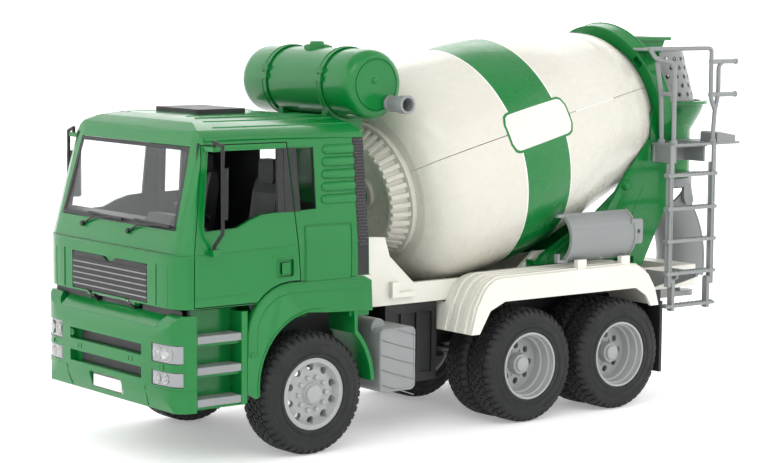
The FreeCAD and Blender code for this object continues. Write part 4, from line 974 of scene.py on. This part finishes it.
TANK = (60.5, 0.0, 226.5)
TANK_R = 22.2
NOZZLE = (71.0, -60.0, 214.5)


def tank_body(bm):
    """The barrel: rolled ends with a groove round each end disc."""
    half = [(60.0, 0), (60.0, 15.4), (59.3, 15.8), (59.3, 16.4), (60.0, 16.9), (59.4, 18.6), (57.9, 20.5),
            (55.4, 21.8), (52.5, TANK_R), (34.0, TANK_R)]
    profile = [(-a, r) for a, r in half] + [(a, r) for a, r in reversed(half)]
    turned(bm, TANK, (0, 1, 0), profile, 96)


def tank_fittings(bm):
    """The nub on each end disc and the buckle blocks where the straps close."""
    for sign in (-1, 1):
        turned(bm, (TANK[0] - 1.5, sign * 59.6, TANK[2] + 2.5), (0, sign, 0),
               [(0, 2.0), (0.9, 1.9), (1.5, 1.2), (1.7, 0)], 20)
    for y in (-30.0, 30.0):
        for turn in (158, 172):
            x, z = around(TANK[0], TANK[2], 23.4, radians(turn))
            block = [(x - 1.0, z - 2.0), (x + 1.4, z - 2.0), (x + 1.4, z + 2.0), (x - 1.0, z + 2.0)]
            prism(bm, block, (y - 3.4, y + 3.4), side)


def strap_lips(bm):
    """A raised lip on both edges of each strap."""
    for y in (-30.0, 30.0):
        for edge in (-1.9, 1.9):
            ring = [(TANK[0] + 23.2 * cos(t), y + edge, TANK[2] + 23.2 * sin(t))
                    for t in (2 * pi * i / 64 for i in range(65))]
            tube(bm, ring, 0.4, 6)


def filler_cap(bm):
    """The filler's lid with its ribbed rim and a hinge block."""
    turned(bm, (TANK[0], 3, 247.0), (0, 0, 1), [(-0.8, 8.0), (3.0, 8.0), (3.6, 7.4), (3.6, 5.0), (5.2, 4.6),
                                                (5.6, 4.0), (5.6, 0)], 40)
    for t in turns(20):
        x, y = around(TANK[0], 3, 8.0, t)
        tube(bm, [(x, y, 246.6), (x, y, 249.8)], 0.45, 6)
    prism(bm, rounded((TANK[0] + 6.5, TANK[0] + 11), (0.5, 5.5), 0.6, 2), (246.6, 249.4), plan)


def nozzle_body(bm):
    """The outlet: a ribbed spout, a flared collar and an open bore."""
    profile = [(-2.0, 4.6), (1.0, 4.6), (1.0, 5.2), (2.6, 5.2), (3.2, 4.7), (12.4, 4.7), (13.0, 5.9),
               (19.2, 5.9), (19.5, 5.6), (19.5, 4.5), (19.2, 4.2), (9.8, 4.2), (9.8, 0)]
    turned(bm, NOZZLE, (0, -1, 0), profile, 48)
    for t in turns(18):
        x, z = around(NOZZLE[0], NOZZLE[2], 4.75, t)
        tube(bm, [(x, -63.2, z), (x, -72.2, z)], 0.35, 6)


def tank_details():
    remade(tank_body, "water_tank", angle=30)
    remade(nozzle_body, "tank_nozzle", angle=30)
    remade(filler_cap, "tank_filler_cap", name="fine_filler_cap", angle=30)
    detail(tank_fittings, "water_tank", width=0.2)
    detail(strap_lips, "tank_straps")


# ---- rear fittings ----------------------------------------------------------------------
PLATFORM_Z, RAIL_Y, CHEEK_Y = 181.0, -75.2, 52.0
LADDER_X = (307.5, 349.2)


def handrail_tubes(bm):
    """The railings round the platform, bent from round bar, with two grab rods at the back."""
    z, y, r = PLATFORM_Z, RAIL_Y, 1.6
    runs = [[(311.6, y, z), (311.0, y, 237.5), (306, -62, 239.5), (304, -58, 246.6)],
            [(311.4, y, 215.5), (313.5, -60, 215.5)],
            [(315.0, -60, z), (313.5, -60, 215.5), (308, -61, 238.0)],
            [(304, -58, 246.6), (341, y, 247.4), (347.4, y, 247.2), (347.6, y, 212), (352, y, 204)],
            [(350.3, y, z), (352, y, 204), (355.2, y, 215), (354.9, y, 234.6), (358.6, y, 238),
             (372.6, y, 238)]]
    for run in runs:
        tube(bm, run, r, 16, bend=5.0)
    for height in (238.0, 214.8):
        tube(bm, [(347.5, y, height), (372.6, y, height)], r + 0.1, 16)
        for x in (347.5, 372.2):
            turned(bm, (x, y, height), (1, 0, 0), [(-0.6, 2.1), (0.6, 2.1)], 16)


def rail_feet(bm):
    """The sockets where the railings stand on the platform."""
    for x, y in ((311.6, RAIL_Y), (315.0, -60), (350.3, RAIL_Y)):
        turned(bm, (x, y, PLATFORM_Z + 0.2), (0, 0, 1), [(-0.3, 2.6), (1.6, 2.6), (2.4, 2.0), (2.4, 1.4)], 20)


def cheek_lines(bm, sign):
    """The raised edge of the stand's cheek, its bolt boss and the pressed outline behind it."""
    y = sign * CHEEK_Y
    edge = [(216, y, 105), (262, y, 131), (284, y, 147), (301, y, 164), (309, y, 180), (312, y, 200)]
    tube(bm, edge, 0.9, 10, bend=4)
    tube(bm, [(268, y, 104), (296, y, 130), (306, y, 150)], 0.5, 8, bend=3)
    tube(bm, [(296, y, 132), (320, y, 136)], 0.45, 8)
    boss = [(0, 3.6), (1.2, 3.5), (2.0, 2.6), (3.0, 2.4), (3.2, 0)]
    turned(bm, (286.5, sign * 54.4, 152), (0, sign, 0), boss, 24)


def ring_lip(bm):
    """The rounded lip on the ring's front and rear edges."""
    for station in (262.6, 272.4):
        points = []
        for i in range(73):
            t = 2 * pi * i / 72
            p = on_drum(station, 58.2, t)
            points.append(((p.x - AXLE_X) * 1000, p.y * 1000, p.z * 1000))
        tube(bm, points, 0.8, 10)


def guard_lips(bm):
    """The rounded top and bottom edges of the perforated fence."""
    for z, r in ((242.6, 20.4), (208.2, 29.2)):
        tube(bm, [(*around(366, 0, r, t), z) for t in degrees(-122, 123, 8)], 0.9, 10)


def funnel_lips(bm):
    """Three hoops round the funnel's body."""
    for z, r in ((205.6, 33.6), (190.0, 23.8), (168.0, 22.3)):
        tube(bm, [(*around(374, 0, r, 2 * pi * i / 48), z) for i in range(49)], 0.7, 8)


def chute_flanges(bm):
    """The rolled ends and rim of the spare chute on the left fender."""
    y, z, r = -61.0, 120.6, 18.0
    for x in (213.6, 272.4):
        points = [(x, y - (r + 0.2) * cos(t), z + (r + 0.2) * sin(t)) for t in degrees(-64, 65, 8)]
        tube(bm, points, 0.9, 10)
    for turn in (-64, 64):
        t = radians(turn)
        edge_y, edge_z = y - (r - 0.7) * cos(t), z + (r - 0.7) * sin(t)
        tube(bm, [(213.6, edge_y, edge_z), (272.4, edge_y, edge_z)], 0.9, 10)
    turned(bm, (240, -79.0, 107.0), (0, -0.4, -1), [(0, 1.4), (0.5, 1.2), (0.6, 0)], 16)


CHUTE_X, CHUTE_Z, CHUTE_R = 330.8, 88.0, 71.0      # the chute curves about this point, at this radius
CHUTE_START, CHUTE_SWEEP = -9, 57


def along_chute(step, inwards=0.0):
    """The (x, z) of the chute's middle line after so many degrees of its sweep."""
    return around(CHUTE_X, CHUTE_Z, CHUTE_R - inwards, radians(CHUTE_START + step))


def chute_trough(bm):
    """The curved half-round discharge chute, with its rolled rims and pivot bosses."""
    rings = []
    for i in range(25):
        ring = []
        for radius, order in ((20.5, degrees(-90, 91, 9)), (18.8, degrees(90, -91, -9))):
            for t in order:
                x, z = along_chute(CHUTE_SWEEP * i / 24, radius * cos(t))
                ring.append(bm.verts.new(at(x, radius * sin(t), z)))
        rings.append(ring)
    bridge(bm, rings, caps=True)
    for sign in (-1, 1):
        rim = [along_chute(CHUTE_SWEEP * i / 20) for i in range(21)]
        tube(bm, [(x, sign * 20.0, z) for x, z in rim], 1.1, 10)
        turned(bm, (382, sign * 18.9, 134), (0, sign, 0), [(0, 3.0), (2.1, 3.0), (2.1, 1.6), (5.1, 1.6)], 24)
    for step in (0.4, 56.6):
        end = []
        for t in degrees(-88, 89, 8):
            x, z = along_chute(step, 20.6 * cos(t))
            end.append((x, 20.6 * sin(t), z))
        tube(bm, end, 0.7, 8)


def tread(bm, z):
    """A ladder tread with a toothed top, seen from the side."""
    low, high = LADDER_X[0] - 3.4, LADDER_X[1] + 3.4
    teeth = 13
    step = (high - low) / teeth
    top = []
    for i in range(teeth):
        top += [(low + step * i, z + 0.9), (low + step * (i + 0.5), z + 1.9)]
    prism(bm, [(low, z - 1.0)] + top + [(high, z + 0.9), (high, z - 1.0)], (-79.0, -74.0), side)


def ladder_frame(bm):
    """The fixed ladder: two grooved rails, four toothed treads, foot brackets and fold pins."""
    for x, turn in ((LADDER_X[0], 1), (LADDER_X[1], -1)):
        prism(bm, rounded((x - 1.2, x + 1.2), (-78.4, -74.2), 0.5, 2), (81.0, 167.4), plan)
        for dx in (-1.0, 1.0):
            for y in (-78.2, -74.8):
                tube(bm, [(x + dx, y, 81.0), (x + dx, y, 167.4)], 0.7, 10)
        prism(bm, rounded((x - 1.7, x + 1.7), (-79.0, -77.1), 0.4, 2), (160.0, PLATFORM_Z - 0.5), plan)
        pin = [(0, 2.2), (0.9, 2.2), (0.9, 1.0), (3.9, 1.0)]
        turned(bm, (x + turn * 1.0, -76.5, 84.5), (turn, 0, 0), pin, 16)
    for z in (159.1, 135.7, 112.9, 90.1):
        tread(bm, z)
    bracket = [(-75, 89.5), (-75, 86.0), (-49, 76.0), (-45.1, 76.0), (-45.1, 89.5)]
    for x in (318.5, 338.5):
        prism(bm, bracket, (x - 1.2, x + 1.2), front)


def fender_ribs(bm, sign):
    """Four lengthwise ridges over the rear fender."""
    arc = [(153 + 20.2 * cos(t), 79 + 20.4 * sin(t)) for t in degrees(160, 94, -13)]
    line = [(127.0, 64.0), (131.2, 81.0)] + arc + [(262, 100.4), (276, 99.0), (286.2, 92.4), (292.6, 82.2),
                                                   (296.0, 71.0)]
    for y in (-76.0, -68.5, -61.0, -53.5):
        tube(bm, [(x, -sign * y, z) for x, z in line], 0.9, 8)


def hub(bm, sign, x, cap, nut, out, radius, nuts, sides):
    """A hub cap and a ring of domed nuts round it: out holds how far out the cap and the nuts stand."""
    turned(bm, (x, sign * out[0], TYRE_R), (0, sign, 0), cap, 28)
    for i in range(nuts):
        t = radians((i + 0.5) * 360 / nuts)
        place = (x + radius * sin(t), sign * out[1], TYRE_R + radius * cos(t))
        turned(bm, place, (0, sign, 0), nut, sides)


def front_hub(bm, sign):
    hub(bm, sign, AXLES["front"], [(0, 5.6), (1.4, 5.5), (2.1, 4.4), (2.3, 2.2), (2.4, 0)],
        [(0, 1.5), (1.0, 1.45), (1.5, 1.0), (1.6, 0)], (77.4, 76.2), 10.4, nuts=10, sides=12)


def rear_hub(bm, sign, x):
    hub(bm, sign, x, [(0, 4.9), (1.6, 4.8), (2.2, 3.8), (2.4, 0)],
        [(0, 0.9), (0.8, 0.9), (1.1, 0.5), (1.1, 0)], (69.6, 64.0), 8.6, nuts=8, sides=10)


def rear_details():
    remade(handrail_tubes, "handrails", angle=40)
    detail(rail_feet, "handrails")
    on_sides(cheek_lines, "rear_stand")
    detail(ring_lip, "rear_stand")
    detail(guard_lips, "hopper_guard")
    detail(funnel_lips, "discharge_funnel")
    detail(chute_flanges, "extension_chute")
    remade(chute_trough, "chute", angle=40)
    remade(ladder_frame, "ladder_upper")
    on_sides(fender_ribs, ("rear_fender_left", "rear_fender_right"))
    on_sides(front_hub, "front_rims", name="hub_nuts")
    for axle in ("middle", "rear"):
        on_sides(lambda bm, s, x=AXLES[axle]: rear_hub(bm, s, x), axle + "_rims", name=f"{axle}_hubs")


# ---- the whole model --------------------------------------------------------------------
REMADE = {"front_tyres", "middle_tyres", "rear_tyres", "grille", "drum_shell_upper", "drum_shell_lower",
          "water_tank", "tank_nozzle", "tank_filler_cap", "handrails", "chute", "ladder_upper"}
BEVELS = {"cab_shell": 0.7, "bumper": 0.7, "door_left": 0.5, "door_right": 0.5,
          "subframe": 0.5, "rear_stand": 0.6, "front_stand": 0.5, "windscreen": 0.2}
for node in sorted(set(NODES) - REMADE):
    carried(node, BEVELS.get(node, 0.35))
tyres()
cab_details()
front_details()
drum_details()
tank_details()
rear_details()


# ---- stage, light and camera ------------------------------------------------------------
def paper(name, bm, rough, grain, shades, glow):
    """A pale sheet that glows a little and isn't part of the object."""
    mesh = bpy.data.meshes.new(name)
    bm.to_mesh(mesh)
    bm.free()
    made = bpy.data.objects.new(name, mesh)
    bpy.context.scene.collection.objects.link(made)
    shader = Shader(name + "_paper", rough)
    shader.colour(shader.mix(shader.noise(grain, 2), *((shade,) * 3 for shade in shades)))
    shader.bsdf.inputs["Emission Color"].default_value = (1, 1, 1, 1)
    shader.bsdf.inputs["Emission Strength"].default_value = glow
    made.data.materials.append(shader.mat)


def floor():
    bm = bmesh.new()
    bmesh.ops.create_grid(bm, x_segments=1, y_segments=1, size=12)
    paper("floor", bm, 0.75, 0.4, (0.93, 0.96), 0.28)


def backdrop():
    """A tall pale screen all round."""
    bm = bmesh.new()
    bridge(bm, [[bm.verts.new((9 * sin(t), 9 * cos(t), z))
                 for t in turns(48)] for z in (-0.01, 9.0)])
    paper("backdrop", bm, 0.9, 0.8, (0.94, 0.97), 0.45)


def area_light(name, place, target, size, power):
    data = bpy.data.lights.new(name, "AREA")
    data.shape = "RECTANGLE"
    data.size, data.size_y = size
    data.energy = power
    lamp = bpy.data.objects.new(name, data)
    lamp.location = place
    lamp.rotation_mode = "QUATERNION"
    lamp.rotation_quaternion = (Vector(target) - Vector(place)).to_track_quat("-Z", "Y")
    bpy.context.scene.collection.objects.link(lamp)


def camera():
    data = bpy.data.cameras.new("camera")
    data.lens, data.sensor_width = 102.0, 36.0
    made = bpy.data.objects.new("camera", data)
    bpy.context.scene.collection.objects.link(made)
    forward = Vector((0.6126, 0.7830, -0.1080)).normalized()
    turn = forward.to_track_quat("-Z", "Y")
    roll = Quaternion(forward, radians(-0.48))
    made.location = (-0.9324, -1.1420, 0.2824)
    made.rotation_mode = "QUATERNION"
    made.rotation_quaternion = roll @ turn
    data.clip_start, data.clip_end = 0.05, 60
    bpy.context.scene.camera = made


floor()
backdrop()
area_light("key", (-1.0, -1.3, 1.7), (0, 0, 0.1), (1.1, 0.8), 6)
area_light("fill", (-1.9, 0.6, 0.9), (0, 0, 0.1), (1.2, 1.2), 1.5)
area_light("back", (1.2, 1.2, 1.4), (0, 0, 0.15), (1.4, 0.8), 3)
area_light("top", (0.1, -0.1, 1.9), (0, 0, 0), (1.8, 1.8), 2.5)
world = bpy.data.worlds.new("studio")
world.use_nodes = True
background = world.node_tree.nodes["Background"]
background.inputs["Color"].default_value = (1, 1, 1, 1)
background.inputs["Strength"].default_value = 0.75
bpy.context.scene.world = world
bpy.context.scene.view_settings.view_transform = "Standard"
camera()
